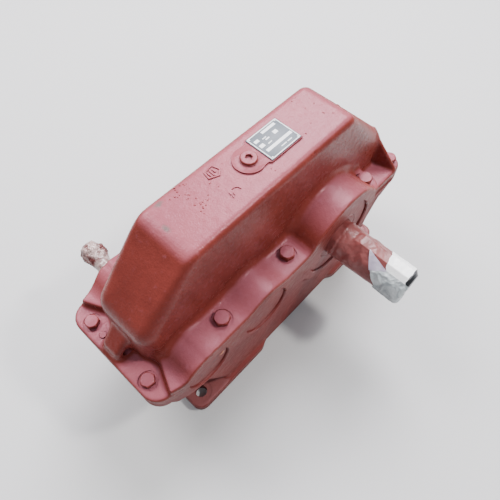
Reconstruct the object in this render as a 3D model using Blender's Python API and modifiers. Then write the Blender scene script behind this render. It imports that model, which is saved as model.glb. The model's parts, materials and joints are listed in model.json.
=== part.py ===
"""Two-stage parallel-shaft helical gear reducer, 250 mm between input and output shafts.

Frame: +X from the input shaft to the output shaft, +Y along the shafts towards the
input drive, +Z up. The origin is below the middle of the whole unit, on the ground.
Everything is measured from an empty that stands at the input axis, on the ground, in
the middle plane of the casing. Lengths are in metres.
"""
import math

import bmesh
import bpy
from mathutils import Matrix, Vector

# ---- driving dimensions ------------------------------------------------------------
GAP = 0.0003                    # air between pieces that touch
CENTRE_1 = 0.100                # input shaft to middle shaft
CENTRE_2 = 0.150                # middle shaft to output shaft
AXIS_HEIGHT = 0.160             # shafts above the feet
FRAME_X = -0.16875              # input axis from the origin
FRAME_Y = 0.02525               # middle plane of the casing from the origin

INPUT_X = 0.0
MIDDLE_X = CENTRE_1
OUTPUT_X = CENTRE_1 + CENTRE_2

HELIX = math.acos(0.99)         # helix angle that brings both stages to round centres
MODULE_1 = 0.002                # normal modules
MODULE_2 = 0.003
TEETH_1 = (16, 83)              # stage 1 pinion and wheel
TEETH_2 = (14, 85)              # stage 2 pinion and wheel
BACKLASH = 0.00012              # taken off each side of a tooth
STAGE_1_Y = (-0.035, -0.011)    # face widths along the shafts
STAGE_2_Y = (-0.007, 0.033)

# ---- casings -----------------------------------------------------------------------
SPLIT_Z = AXIS_HEIGHT
FLANGE_X = (-0.0755, 0.413)
FLANGE_HALF = 0.081
FLANGE_THICK = 0.015
FLANGE_RADIUS = 0.022
SIDE_X = (-0.054, 0.3355)       # the deep beam that carries the bearings
SIDE_HALF = 0.088
SIDE_INNER = 0.040              # the beams reach in to here
SIDE_TOP = 0.201
LEDGE_TOP = 0.186               # the beam's lower end beyond the input boss
SIDE_BOTTOM = 0.135
HOOD_X = (-0.046, 0.392)
HOOD_TOP_X = (0.035, 0.296)
HOOD_TOP = 0.318
HOOD_HALF_LOW = 0.046           # half width of the hood at its foot
HOOD_HALF_HIGH = 0.041          # and at its top
WALL = 0.007
CAVITY_FLOOR = 0.022
BODY_HALF = 0.082               # lower casing around the bearings
FOOT_THICK = 0.018
FOOT_X = ((-0.031, 0.112), (0.265, 0.390))
FOOT_RADIUS = 0.015
BASE_RELIEF = 0.003             # the underside is relieved between the feet
ANCHORS = [(x, side * 0.067) for x in (-0.010, 0.369) for side in (-1, 1)]
ANCHOR_RADIUS = 0.0085
ALL_ROUND = ((-0.2, 0.5), (-0.2, 0.2))  # X and Y spans that hold the whole casing

# bearing places: shaft x, boss radius, bore radius, cap groove radius
PLACES = {
    "input": (INPUT_X, 0.042, 0.031, 0.035),
    "middle": (MIDDLE_X, 0.050, 0.036, 0.040),
    "output": (OUTPUT_X, 0.080, 0.060, 0.064),
}
BOSS_STEPS = {"input": 8, "middle": 8, "output": 14}
GROOVE_Y = (0.0745, 0.0805)
CAP_FACE = 0.0870               # caps sit a little below the machined face
BEARING_INNER_FACE = 0.040      # distance of each bearing from the middle plane
# bearings: bore radius, width, segments of the rings
BEARINGS = {
    "input": (0.0125, 0.01825, 20),
    "middle": (0.0150, 0.02075, 20),
    "output": (0.0275, 0.03150, 24),
}

# beams' cut corners: how far along the beam, and how deep
CORNER_CUTS = {("left", -1): (0.021, 0.006), ("left", 1): (0.040, 0.010),
               ("right", -1): (0.0095, 0.012), ("right", 1): (0.0095, 0.012)}
SCALLOP_RADIUS = 0.0205         # room for a spanner at the flange's left bolts

# lifting lugs: the wall they grow from, their tip, and the eye
LUGS = {"left": (-0.040, FLANGE_X[0], -0.058), "right": (0.386, 0.411, 0.4005)}
LUG_TOP = 0.208
LUG_HALF = 0.0115
EYE_Z = 0.190
EYE_RADIUS = 0.0075

# webs from the hood's corners to the flange's corners, at the output end
GUSSET_FOOT = (0.381, 0.042)
GUSSET_LENGTH = 0.037
GUSSET_HALF = 0.003
GUSSET_HEIGHTS = (0.226, 0.179)
GUSSET_ANGLE = math.radians(76.7)

# ---- fasteners ---------------------------------------------------------------------
SIDE_BOLTS = [(x, side * y) for x, y in ((0.043, 0.067), (0.159, 0.0655), (0.3215, 0.066))
              for side in (-1, 1)]
SIDE_BOLT = dict(radius=0.006, across=0.018, head=0.0075, length=0.064)
END_BOLTS = [(x, side * y) for x, y in ((-0.060, 0.0505), (0.4005, 0.062)) for side in (-1, 1)]
END_BOLT = dict(radius=0.005, across=0.0160, head=0.0066, length=0.042)
NUT_HEIGHT = 0.0084
SPOT_FACE = 0.0128              # flat seat radius of the bolts beside the output boss
CLEARANCE = 0.0006              # bolt holes over the bolt's radius
PINS = {"taper_pin_left": (-0.061, 0.029), "taper_pin_right": (0.4015, -0.029)}
PIN_RADIUS = (0.0035, 0.0041)

# ---- top fittings --------------------------------------------------------------------
VENT = (0.1623, 0.0045)
PLUG_RADIUS = 0.0078            # breather plug's shank
VENT_LOBE = 0.019               # the pad's round end about the breather
PAD_TOP = 0.320
PAD_MARGIN = 0.0038
PLATE_X = (0.1782, 0.2272)
PLATE_Y = (-0.0155, 0.0247)

# ---- end wall of the sump ------------------------------------------------------------
PLUG_WALL_X = 0.395             # outer face of the plugs' bosses
DRAIN_PLUG = dict(radius=0.0080, across=0.022, head=0.008, length=0.011)
LEVEL_PLUG = dict(radius=0.0060, across=0.017, head=0.008, length=0.011)
DRAIN_Z = 0.036
LEVEL_Z = 0.072

# ---- shafts, along Y from the middle plane ---------------------------------------------
OUTPUT_END = -0.2000
INPUT_END = 0.1465
INPUT_RADIUS = 0.0100           # free ends of the shafts
OUTPUT_RADIUS = 0.0250
GEAR_SEAT_1 = 0.0170            # where the wheels sit on their shafts
GEAR_SEAT_2 = 0.0310
FILM_END = 0.1495               # the protective film goes past the input shaft's end
FILM_STOP = 0.005               # and leaves this much of the output shaft's end bare

# parallel keys: width, bottom and top from the shaft's axis, span along the shaft
INPUT_KEY = dict(width=0.006, low=0.0065, top=0.0125, span=(0.1225, 0.1405))
MIDDLE_KEY = dict(width=0.010, low=0.0120, top=0.0200, span=(-0.033, -0.013))
GEAR_KEY = dict(width=0.018, low=0.0240, top=0.0350, span=(-0.004, 0.030))
OUTPUT_KEY = dict(width=0.014, low=0.0195, top=0.0285, span=(-0.1960, -0.1210))

PARTS = "industrial_gearbox"
CUTTERS = "cutters"

CAST_RED = dict(color=(0.30, 0.075, 0.062, 1), roughness=0.42, metallic=0.0)
BARE_STEEL = dict(color=(0.45, 0.44, 0.43, 1), roughness=0.35, metallic=1.0)
GEAR_STEEL = dict(color=(0.36, 0.35, 0.34, 1), roughness=0.30, metallic=1.0)
DARK_STEEL = dict(color=(0.07, 0.07, 0.075, 1), roughness=0.45, metallic=1.0)
BRONZE = dict(color=(0.50, 0.36, 0.17, 1), roughness=0.40, metallic=1.0)
RUBBER = dict(color=(0.03, 0.03, 0.03, 1), roughness=0.70, metallic=0.0)
FILM = dict(color=(0.72, 0.70, 0.70, 1), roughness=0.25, metallic=0.0)
PLATE_GREY = dict(color=(0.30, 0.33, 0.35, 1), roughness=0.40, metallic=0.6)


# ---- scene helpers -----------------------------------------------------------------
def start_scene():
    """Empties the scene and makes the two collections."""
    for stale in list(bpy.data.objects):
        bpy.data.objects.remove(stale, do_unlink=True)
    for title in (PARTS, CUTTERS):
        bpy.context.scene.collection.children.link(bpy.data.collections.new(title))


def axis_empty(name, parent, location, along_y):
    """An empty; along_y turns its local Z to the shafts' direction, world +Y."""
    empty = bpy.data.objects.new(name, None)
    bpy.data.collections[PARTS].objects.link(empty)
    empty.parent = parent
    empty.location = location
    if along_y:
        empty.rotation_euler = (-math.pi / 2, 0, 0)
    return empty


def finish_part(obj, parent, look):
    """Parents a piece, gives it its own material and smooth shading."""
    obj.parent = parent
    material = bpy.data.materials.new(obj.name)
    material.use_nodes = True
    shader = material.node_tree.nodes["Principled BSDF"]
    shader.inputs["Base Color"].default_value = look["color"]
    shader.inputs["Roughness"].default_value = look["roughness"]
    shader.inputs["Metallic"].default_value = look["metallic"]
    if not obj.material_slots:
        obj.data.materials.append(None)
    obj.material_slots[0].link = "OBJECT"
    obj.material_slots[0].material = material
    if obj.modifiers and obj.modifiers[0].type == "SCREW":
        return
    obj.data.shade_smooth()
    obj.data.set_sharp_from_angle(angle=math.radians(35))


def new_object(name, mesh, cutter=False):
    """Links a mesh as a part, or as a cutter that isn't one."""
    obj = bpy.data.objects.new(name, mesh)
    bpy.data.collections[CUTTERS if cutter else PARTS].objects.link(obj)
    if cutter:
        obj.hide_render = True
        obj.display_type = "WIRE"
    return obj


def evaluated_mesh(obj):
    """A new mesh of an object with its modifiers, or its curve, worked out."""
    bpy.context.view_layer.update()
    graph = bpy.context.evaluated_depsgraph_get()
    return bpy.data.meshes.new_from_object(obj.evaluated_get(graph))


def boolean(obj, tool, operation):
    """Cuts an object with another, or joins the other to it."""
    modifier = obj.modifiers.new(tool.name, "BOOLEAN")
    modifier.operation = operation
    modifier.solver = "EXACT"
    modifier.object = tool


def clean_flats(obj):
    """Joins the slivers that many cuts leave on flat faces."""
    flats = obj.modifiers.new("clean_flats", "DECIMATE")
    flats.decimate_type = "DISSOLVE"
    flats.angle_limit = math.radians(0.3)


# ---- shape helpers -----------------------------------------------------------------
def rounded(corners, segments=4):
    """Closed outline through (x, y, radius) corners, each radius drawn as an arc."""
    points = []
    for index, (x, y, radius) in enumerate(corners):
        here = Vector((x, y))
        if radius == 0:
            points.append(here)
            continue
        before = (Vector(corners[index - 1][:2]) - here).normalized()
        after = (Vector(corners[(index + 1) % len(corners)][:2]) - here).normalized()
        half = before.angle(after) / 2
        centre = here + (before + after).normalized() * radius / math.sin(half)
        first = here + before * radius / math.tan(half) - centre
        last = here + after * radius / math.tan(half) - centre
        turn = math.atan2(first.cross(last), first.dot(last))
        for step in range(segments + 1):
            points.append(centre + Matrix.Rotation(turn * step / segments, 2) @ first)
    return points


def circle(radius, segments, centre=(0, 0), start=0.0, sweep=math.tau):
    """Points on a circle or, with a shorter sweep, an arc with both its ends."""
    count = segments if sweep == math.tau else segments + 1
    angles = [start + sweep * step / segments for step in range(count)]
    return [Vector((centre[0] + radius * math.cos(a), centre[1] + radius * math.sin(a)))
            for a in angles]


def extruded(name, outlines, low, high):
    """Mesh of flat outlines, the first one outside and the rest holes, from low to high."""
    curve = bpy.data.curves.new(name, "CURVE")
    curve.dimensions = "2D"
    curve.fill_mode = "BOTH"
    curve.extrude = (high - low) / 2
    for outline in outlines:
        spline = curve.splines.new("POLY")
        spline.points.add(len(outline) - 1)
        for point, place in zip(spline.points, outline):
            point.co = (place[0], place[1], 0, 1)
        spline.use_cyclic_u = True
    holder = new_object(name, curve)
    mesh = evaluated_mesh(holder)
    bpy.data.objects.remove(holder)
    bpy.data.curves.remove(curve)
    bm = bmesh.new()
    bm.from_mesh(mesh)
    bmesh.ops.remove_doubles(bm, verts=bm.verts, dist=1e-6)
    bmesh.ops.translate(bm, verts=bm.verts, vec=(0, 0, (low + high) / 2))
    bmesh.ops.recalc_face_normals(bm, faces=bm.faces)
    bm.to_mesh(mesh)
    bm.free()
    mesh.name = name
    return mesh


def side_view(name, outlines, half, parent, cutter=True):
    """Solid of an X-Z outline, half to each side of the middle plane."""
    obj = new_object(name, extruded(name, outlines, -half, half), cutter)
    obj.rotation_euler = (math.pi / 2, 0, 0)
    obj.parent = parent
    return obj


def top_view(name, outlines, low, high, parent, cutter=True):
    """Solid of an X-Y outline between two heights."""
    obj = new_object(name, extruded(name, outlines, low, high), cutter)
    obj.parent = parent
    return obj


def downward(profile):
    """Turns a closed profile so that its outer side runs from high to low z."""
    area = sum(a[0] * b[1] - b[0] * a[1] for a, b in zip(profile, profile[1:] + profile[:1]))
    return profile if area < 0 else profile[::-1]


def turned(name, profile, segments, parent, look=None):
    """Turned piece about local Z. Its (radius, z) profile runs down its outer side."""
    closed = all(radius > 0 for radius, _ in profile)
    mesh = bpy.data.meshes.new(name)
    bm = bmesh.new()
    verts = [bm.verts.new((radius, 0, z)) for radius, z in profile]
    for first, second in zip(verts, verts[1:] + verts[:1] if closed else verts[1:]):
        bm.edges.new((first, second))
    bm.to_mesh(mesh)
    bm.free()
    obj = new_object(name, mesh, cutter=look is None)
    screw = obj.modifiers.new("turn", "SCREW")
    screw.steps = screw.render_steps = segments
    screw.use_merge_vertices = True
    screw.merge_threshold = 1e-6
    screw.use_smooth_shade = False
    if look is None:
        obj.parent = parent
    else:
        finish_part(obj, parent, look)
    return obj


def rod(name, radius, low, high, segments, parent, place=(0, 0), cutter=True):
    """Cylinder along the parent's local Z."""
    mesh = bpy.data.meshes.new(name)
    bm = bmesh.new()
    bmesh.ops.create_cone(bm, cap_ends=True, segments=segments, radius1=radius,
                          radius2=radius, depth=high - low)
    bm.to_mesh(mesh)
    bm.free()
    obj = new_object(name, mesh, cutter)
    obj.parent = parent
    obj.location = (place[0], place[1], (low + high) / 2)
    return obj


def block(name, x, y, z, parent, cutter=True):
    """Box between (low, high) pairs."""
    mesh = bpy.data.meshes.new(name)
    bm = bmesh.new()
    bmesh.ops.create_cube(bm, size=1)
    size = [high - low for low, high in (x, y, z)]
    bmesh.ops.scale(bm, verts=bm.verts, vec=size)
    bm.to_mesh(mesh)
    bm.free()
    obj = new_object(name, mesh, cutter)
    obj.parent = parent
    obj.location = [(low + high) / 2 for low, high in (x, y, z)]
    return obj


def hexagon(across):
    """Hexagon outline from its width across flats."""
    return circle(across / math.sqrt(3), 6)


# ---- casings -----------------------------------------------------------------------
def hood_outline(offset, low):
    """The hood's side view, moved in by offset, from the height low up."""
    slope = offset * math.tan(math.radians(22.5))
    left = HOOD_X[0] + offset
    right = HOOD_X[1] - offset
    top = HOOD_TOP - offset
    rise = HOOD_TOP_X[0] - HOOD_X[0]
    fall = HOOD_X[1] - HOOD_TOP_X[1]
    round_off = 0.016 - offset
    return rounded([
        (left, low, 0),
        (left, HOOD_TOP - rise - slope, 0.030),
        (HOOD_TOP_X[0] + slope, top, round_off),
        (HOOD_TOP_X[1] - slope, top, round_off),
        (right, HOOD_TOP - fall - slope, 0.030),
        (right, low, 0),
    ])


def apply_draft(obj, half, inset):
    """Leans a side-view solid's flat sides in, as the pattern's draft does."""
    low, high = SPLIT_Z + FLANGE_THICK, HOOD_TOP
    for vertex in obj.data.vertices:
        along = (vertex.co.y - low) / (high - low)
        width = HOOD_HALF_LOW + (HOOD_HALF_HIGH - HOOD_HALF_LOW) * along - inset
        vertex.co.z *= width / half


def flange_outline():
    """Both casings' flange, seen from above."""
    left, right = FLANGE_X
    return rounded([(x, y, FLANGE_RADIUS) for x, y in (
        (left, -FLANGE_HALF), (right, -FLANGE_HALF), (right, FLANGE_HALF), (left, FLANGE_HALF))])


def beam_outline(bottom, top, with_bosses):
    """The bearing beam in side view, with the bosses' round backs above it."""
    left, right = SIDE_X
    points = [Vector((left, bottom)), Vector((right, bottom)), Vector((right, top))]
    if not with_bosses:
        return points + [Vector((left, top))]
    for name in ("output", "middle", "input"):
        x, boss, _, _ = PLACES[name]
        start = math.asin((top - AXIS_HEIGHT) / boss)
        low_side = top if name != "input" else LEDGE_TOP
        end = math.pi - math.asin((low_side - AXIS_HEIGHT) / boss)
        points += circle(boss, BOSS_STEPS[name], (x, AXIS_HEIGHT), start, end - start)
    return points + [Vector((left, LEDGE_TOP))]


def beams(name, outline, frame):
    """The beam on both sides of the casing, its ends cut back round the flange bolts."""
    pieces = []
    below, above = 0.10, 0.25
    for side in (-1, 1):
        low, high = sorted((-side * SIDE_INNER, -side * SIDE_HALF))
        beam = new_object(f"{name}_{side}", extruded(name, [outline], low, high), cutter=True)
        beam.rotation_euler = (math.pi / 2, 0, 0)
        beam.parent = frame
        pieces.append(beam)
        for end, x, inwards in (("left", SIDE_X[0], 1), ("right", SIDE_X[1], -1)):
            run, depth = CORNER_CUTS[(end, side)]
            inner, outer = side * (SIDE_HALF - depth), side * (SIDE_HALF + 0.01)
            start, past = x + inwards * run, x - inwards * run
            corner = [(start, side * (SIDE_HALF + 0.0001)), (x - inwards * 0.0005, inner),
                      (past, inner), (past, outer), (start, outer)]
            tool = top_view(f"{name}_corner_{end}_{side}", [corner], below, above, frame)
            boolean(beam, tool, "DIFFERENCE")
        x, y = END_BOLTS[0]
        scallop = rod(f"{name}_scallop_{side}", SCALLOP_RADIUS, below, above, 16, frame, (x, side * abs(y)))
        boolean(beam, scallop, "DIFFERENCE")
    return pieces


def gusset(name, side, frame):
    """Web from the hood's corner down to the flange's corner, at the output end."""
    high, low = GUSSET_HEIGHTS
    outline = [(0, SPLIT_Z), (GUSSET_LENGTH, SPLIT_Z), (GUSSET_LENGTH, low), (0, high)]
    obj = side_view(name, [outline], GUSSET_HALF, frame)
    obj.rotation_euler = (math.pi / 2, 0, side * GUSSET_ANGLE)
    obj.location = (GUSSET_FOOT[0], side * GUSSET_FOOT[1], 0)
    return obj


def lug_outline(wall_x, tip_x):
    """Lifting lug on the flange: a plate with one round top corner."""
    return rounded([(wall_x, SPLIT_Z, 0), (tip_x, SPLIT_Z, 0), (tip_x, LUG_TOP, 0.014),
                    (wall_x, LUG_TOP + 0.004, 0)])


def housing_bores(half_name):
    """Bearing bores and the cap grooves, as cutters through both sides."""
    cutters = []
    for name, (_, _, bore, groove) in PLACES.items():
        segments = BEARINGS[name][2]
        axis = bpy.data.objects[name + "_axis"]
        cutters.append(rod(f"{half_name}_{name}_bore", bore, -0.1, 0.1, segments, axis))
        for side in (-1, 1):
            low, high = sorted((side * GROOVE_Y[0], side * GROOVE_Y[1]))
            cutters.append(rod(f"{half_name}_{name}_groove_{side}", groove, low, high, segments, axis))
    return cutters


def fastener_holes(frame, half_name):
    """Clearance holes of the bolts and pins."""
    cutters = []
    for index, place in enumerate(SIDE_BOLTS):
        radius = SIDE_BOLT["radius"] + CLEARANCE
        cutters.append(rod(f"{half_name}_side_hole_{index}", radius, 0.128, 0.25, 8, frame, place))
    for index, place in enumerate(END_BOLTS):
        radius = END_BOLT["radius"] + CLEARANCE
        cutters.append(rod(f"{half_name}_end_hole_{index}", radius, 0.10, 0.25, 8, frame, place))
    for name, place in PINS.items():
        radius = PIN_RADIUS[1] + GAP + 0.0001
        cutters.append(rod(f"{half_name}_{name}_hole", radius, 0.10, 0.20, 8, frame, place))
    return cutters


def upper_housing(frame):
    """Hood, flange, bearing beams and bosses, lugs and gussets, cast in one piece."""
    bottom = SPLIT_Z - 0.01
    hood = side_view("upper_housing", [hood_outline(0, bottom)], HOOD_HALF_LOW, frame, cutter=False)
    apply_draft(hood, HOOD_HALF_LOW, 0)
    edges = hood.modifiers.new("soft_edges", "BEVEL")
    edges.width = 0.007
    edges.segments = 2
    edges.limit_method = "ANGLE"
    edges.angle_limit = math.radians(60)
    joined = beams("upper_beam", beam_outline(bottom + 0.002, SIDE_TOP, True), frame)
    joined.append(top_view("upper_flange", [flange_outline()], bottom + 0.001,
                           SPLIT_Z + FLANGE_THICK, frame))
    (left, right), (front, back) = PLATE_X, PLATE_Y
    lobe = circle(VENT_LOBE, 10, VENT, math.radians(75), math.radians(210))
    pad = lobe + [(left - 0.002, front - PAD_MARGIN), (right + PAD_MARGIN, front - PAD_MARGIN),
                  (right + PAD_MARGIN, back + PAD_MARGIN), (left - 0.002, back + PAD_MARGIN)]
    joined.append(top_view("plate_pad", [pad], HOOD_TOP - 0.018, PAD_TOP, frame))
    joined += [gusset(f"gusset_{side}", side, frame) for side in (-1, 1)]
    cut = []
    for name, (wall_x, tip_x, eye_x) in LUGS.items():
        joined.append(side_view(f"lug_{name}", [lug_outline(wall_x, tip_x)], LUG_HALF, frame))
        eye = circle(EYE_RADIUS, 12, (eye_x, EYE_Z))
        cut.append(side_view(f"lug_eye_{name}", [eye], 2 * LUG_HALF, frame))
    cavity_half = HOOD_HALF_LOW - WALL
    cavity = side_view("upper_cavity", [hood_outline(WALL, bottom - 0.01)], cavity_half, frame)
    apply_draft(cavity, cavity_half, WALL)
    cut.append(cavity)
    cut += housing_bores("upper")
    cut += fastener_holes(frame, "upper")
    cut.append(rod("vent_hole", PLUG_RADIUS + CLEARANCE / 2, 0.29, 0.33, 12, frame, VENT))
    for index, place in enumerate(SIDE_BOLTS[-2:]):
        cut.append(rod(f"spot_face_{index}", SPOT_FACE, SIDE_TOP - 0.0001, 0.240, 12, frame, place))
    cut.append(block("below_split", *ALL_ROUND, (0.05, SPLIT_Z + GAP / 2), frame))
    for tool in joined:
        boolean(hood, tool, "UNION")
    for tool in cut:
        boolean(hood, tool, "DIFFERENCE")
    clean_flats(hood)
    finish_part(hood, frame, CAST_RED)


def end_rod(name, radius, x_span, height, parent):
    """Cylinder along X in the middle plane, for the end wall's bosses and holes."""
    start, end = x_span
    tool = rod(name, radius, start, end, 12, parent)
    tool.rotation_euler = (0, math.pi / 2, 0)
    tool.location = ((start + end) / 2, 0, height)
    return tool


def lower_housing(frame):
    """Oil sump, bearing beams, flange and feet, cast in one piece."""
    top = SPLIT_Z + 0.01
    left, right = HOOD_X
    sump_outline = rounded([
        (left, top, 0), (left, 0.120, 0.02), (FOOT_X[0][0], 0.050, 0.02),
        (FOOT_X[0][0], BASE_RELIEF, 0), (0.390, BASE_RELIEF, 0), (right, 0.06, 0), (right, top, 0)])
    sump = side_view("lower_housing", [sump_outline], HOOD_HALF_LOW, frame, cutter=False)
    wide = rounded([
        (-0.036, top, 0), (-0.033, 0.158, 0), (0.030, FOOT_THICK, 0), (0.032, BASE_RELIEF, 0),
        (0.338, BASE_RELIEF, 0), (0.340, 0.050, 0), (0.346, 0.100, 0.03), (0.366, 0.146, 0.02),
        (0.386, 0.158, 0), (0.386, top, 0)])
    joined = [
        side_view("wide_body", [wide], BODY_HALF, frame),
        top_view("lower_flange", [flange_outline()], SPLIT_Z - FLANGE_THICK, top, frame),
        end_rod("drain_boss", 0.016, (0.380, PLUG_WALL_X), DRAIN_Z, frame),
        end_rod("level_boss", 0.013, (0.380, PLUG_WALL_X), LEVEL_Z, frame),
    ]
    joined += beams("lower_beam", beam_outline(SIDE_BOTTOM, top - 0.001, False), frame)
    for index, (low, high) in enumerate(FOOT_X):
        foot = rounded([(x, y, FOOT_RADIUS) for x, y in (
            (low, -SIDE_HALF), (high, -SIDE_HALF), (high, SIDE_HALF), (low, SIDE_HALF))])
        joined.append(top_view(f"foot_{index}", [foot], 0, FOOT_THICK, frame))
    cavity_outline = rounded([
        (left + WALL, top + 0.01, 0), (left + WALL, 0.118, 0.015), (-0.022, 0.052, 0.015),
        (-0.022, CAVITY_FLOOR, 0.004), (right - WALL, CAVITY_FLOOR, 0.004), (right - WALL, top + 0.01, 0)])
    cut = [side_view("lower_cavity", [cavity_outline], HOOD_HALF_LOW - WALL, frame)]
    cut += housing_bores("lower")
    cut += fastener_holes(frame, "lower")
    for index, place in enumerate(ANCHORS):
        cut.append(rod(f"anchor_hole_{index}", ANCHOR_RADIUS, -0.01, 0.03, 12, frame, place))
    for name, plug, height in (("drain", DRAIN_PLUG, DRAIN_Z), ("level", LEVEL_PLUG, LEVEL_Z)):
        cut.append(end_rod(name + "_hole", plug["radius"] + GAP, (0.37, 0.41), height, frame))
    cut.append(block("above_split", *ALL_ROUND, (SPLIT_Z - GAP / 2, 0.3), frame))
    for tool in joined:
        boolean(sump, tool, "UNION")
    for tool in cut:
        boolean(sump, tool, "DIFFERENCE")
    clean_flats(sump)
    finish_part(sump, frame, CAST_RED)



# ---- fasteners and fittings -----------------------------------------------------------
def bolt_mesh(name, radius, across, head, length):
    """Hexagon bolt, its head's underside at z = 0 and its shank below."""
    blank = new_object(name, extruded(name, [hexagon(across)], 0, head))
    shank = rod(name + "_shank", radius, -length, head / 2, 8, None)
    boolean(blank, shank, "UNION")
    mesh = evaluated_mesh(blank)
    bpy.data.objects.remove(blank)
    bpy.data.objects.remove(shank)
    return mesh


def place_copy(name, mesh, parent, place, look):
    """One more piece from a shared mesh."""
    obj = new_object(name, mesh)
    obj.location = place
    finish_part(obj, parent, look)
    return obj


def fasteners(frame):
    """Hexagon bolts, their nuts under the end flanges, and the two taper pins."""
    corners = ("front", "back")
    long_bolt = bolt_mesh("side_bolt", **SIDE_BOLT)
    for index, (x, y) in enumerate(SIDE_BOLTS):
        title = ("input", "middle", "output")[index // 2]
        place_copy(f"bearing_bolt_{title}_{corners[index % 2]}", long_bolt, frame,
                   (x, y, SIDE_TOP + GAP), CAST_RED)
    short_bolt = bolt_mesh("end_bolt", **END_BOLT)
    hole = circle(END_BOLT["radius"] + CLEARANCE, 8)
    nut = extruded("flange_nut", [hexagon(END_BOLT["across"]), hole], 0, NUT_HEIGHT)
    for index, (x, y) in enumerate(END_BOLTS):
        title = f"{('left', 'right')[index // 2]}_{corners[index % 2]}"
        place_copy(f"flange_bolt_{title}", short_bolt, frame,
                   (x, y, SPLIT_Z + FLANGE_THICK + GAP), CAST_RED)
        place_copy(f"flange_nut_{title}", nut, frame,
                   (x, y, SPLIT_Z - FLANGE_THICK - GAP - NUT_HEIGHT), CAST_RED)
    low, high = SPLIT_Z - FLANGE_THICK - 0.002, SPLIT_Z + FLANGE_THICK + 0.002
    small, large = PIN_RADIUS
    for name, (x, y) in PINS.items():
        pin = turned(name, [(0, high), (large, high), (small, low), (0, low)], 8, frame, BARE_STEEL)
        pin.location = (x, y, 0)


def top_fittings(frame):
    """Breather plug with a hexagon socket, and the blank rating plate."""
    x, y = VENT
    low, seat, top = PAD_TOP - 0.016, PAD_TOP + GAP, PAD_TOP + 0.0038
    profile = [(0, top), (0.0095, top), (0.0105, top - 0.001), (0.0105, seat), (PLUG_RADIUS, seat),
               (PLUG_RADIUS, low), (0, low)]
    plug = turned("breather_plug", profile, 12, frame, CAST_RED)
    plug.location = (x, y, 0)
    socket = new_object("breather_socket", extruded("socket", [hexagon(0.0080)], top - 0.006, top + 0.01),
                        cutter=True)
    socket.parent = frame
    socket.location = (x, y, 0)
    boolean(plug, socket, "DIFFERENCE")
    plate = block("nameplate", PLATE_X, PLATE_Y, (PAD_TOP + GAP, PAD_TOP + GAP + 0.0010), frame, cutter=False)
    finish_part(plate, frame, PLATE_GREY)


def end_plugs(frame):
    """Drain and oil-level plugs in the sump's end wall."""
    for name, sizes, height in (("drain_plug", DRAIN_PLUG, DRAIN_Z),
                                ("oil_level_plug", LEVEL_PLUG, LEVEL_Z)):
        plug = place_copy(name, bolt_mesh(name, **sizes), frame, (PLUG_WALL_X + GAP, 0, height), BARE_STEEL)
        plug.rotation_euler = (0, math.pi / 2, 0)


# ---- bearings ----------------------------------------------------------------------
def bearing(place, side, axis):
    """Tapered roller bearing: cup in the casing, cone on the shaft, rollers in their cage."""
    bore, width, segments = BEARINGS[place]
    outer = PLACES[place][2]
    height = outer - bore
    middle = (outer + bore) / 2
    roller = 0.20 * height
    tilt = 0.20
    title = ("back", "front")[side < 0]
    near, far = BEARING_INNER_FACE, BEARING_INNER_FACE + width

    def radius(offset, y):
        """Radius of a cone that narrows outwards, offset from the rollers' centres."""
        return middle + offset - tilt * (y - (near + far) / 2)

    cup = [(outer - GAP, near + 0.0035), (outer - GAP, far),
           (radius(roller + 0.0006, far), far), (radius(roller + 0.0006, near + 0.0035), near + 0.0035)]
    lip = near + 0.12 * width
    cone = [(bore + GAP, near), (bore + GAP, far - 0.0020),
            (radius(-roller - 0.0006, far - 0.0020), far - 0.0020),
            (radius(-roller - 0.0006, lip), lip), (radius(-0.3 * roller, near), near)]
    for name, ring in (("outer_race", cup), ("inner_race", cone)):
        profile = [(r, side * y) for r, y in ring]
        turned(f"{place}_{name}_{title}", downward(profile), segments, axis, BARE_STEEL)
    low, high = lip + 0.0004, far - 0.0030
    count = 12 if place == "output" else 10
    mesh = extruded("rollers", roller_outlines(middle, roller, count), low, high)
    for vertex in mesh.vertices:
        scale = 1 - tilt * (vertex.co.z - (near + far) / 2) / middle
        vertex.co.x *= scale
        vertex.co.y *= scale
        vertex.co.z *= side
    if side < 0:
        mesh.flip_normals()
    rollers = new_object(f"{place}_rollers_{title}", mesh)
    finish_part(rollers, axis, BRONZE)


def roller_outlines(middle, roller, count):
    """Rollers in their cage, seen along the shaft: a scalloped ring."""
    outside, inside = [], []
    for index in range(count):
        angle = math.tau * index / count
        half = roller / middle
        web = math.pi / count - 0.25 * (math.pi / count - half)
        for offset, reach in ((-web, 0.35), (-half * 0.62, 0.96), (half * 0.62, 0.96), (web, 0.35)):
            direction = Vector((math.cos(angle + offset), math.sin(angle + offset)))
            outside.append(direction * (middle + reach * roller))
            inside.append(direction * (middle - reach * roller))
    return [outside, inside]


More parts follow.
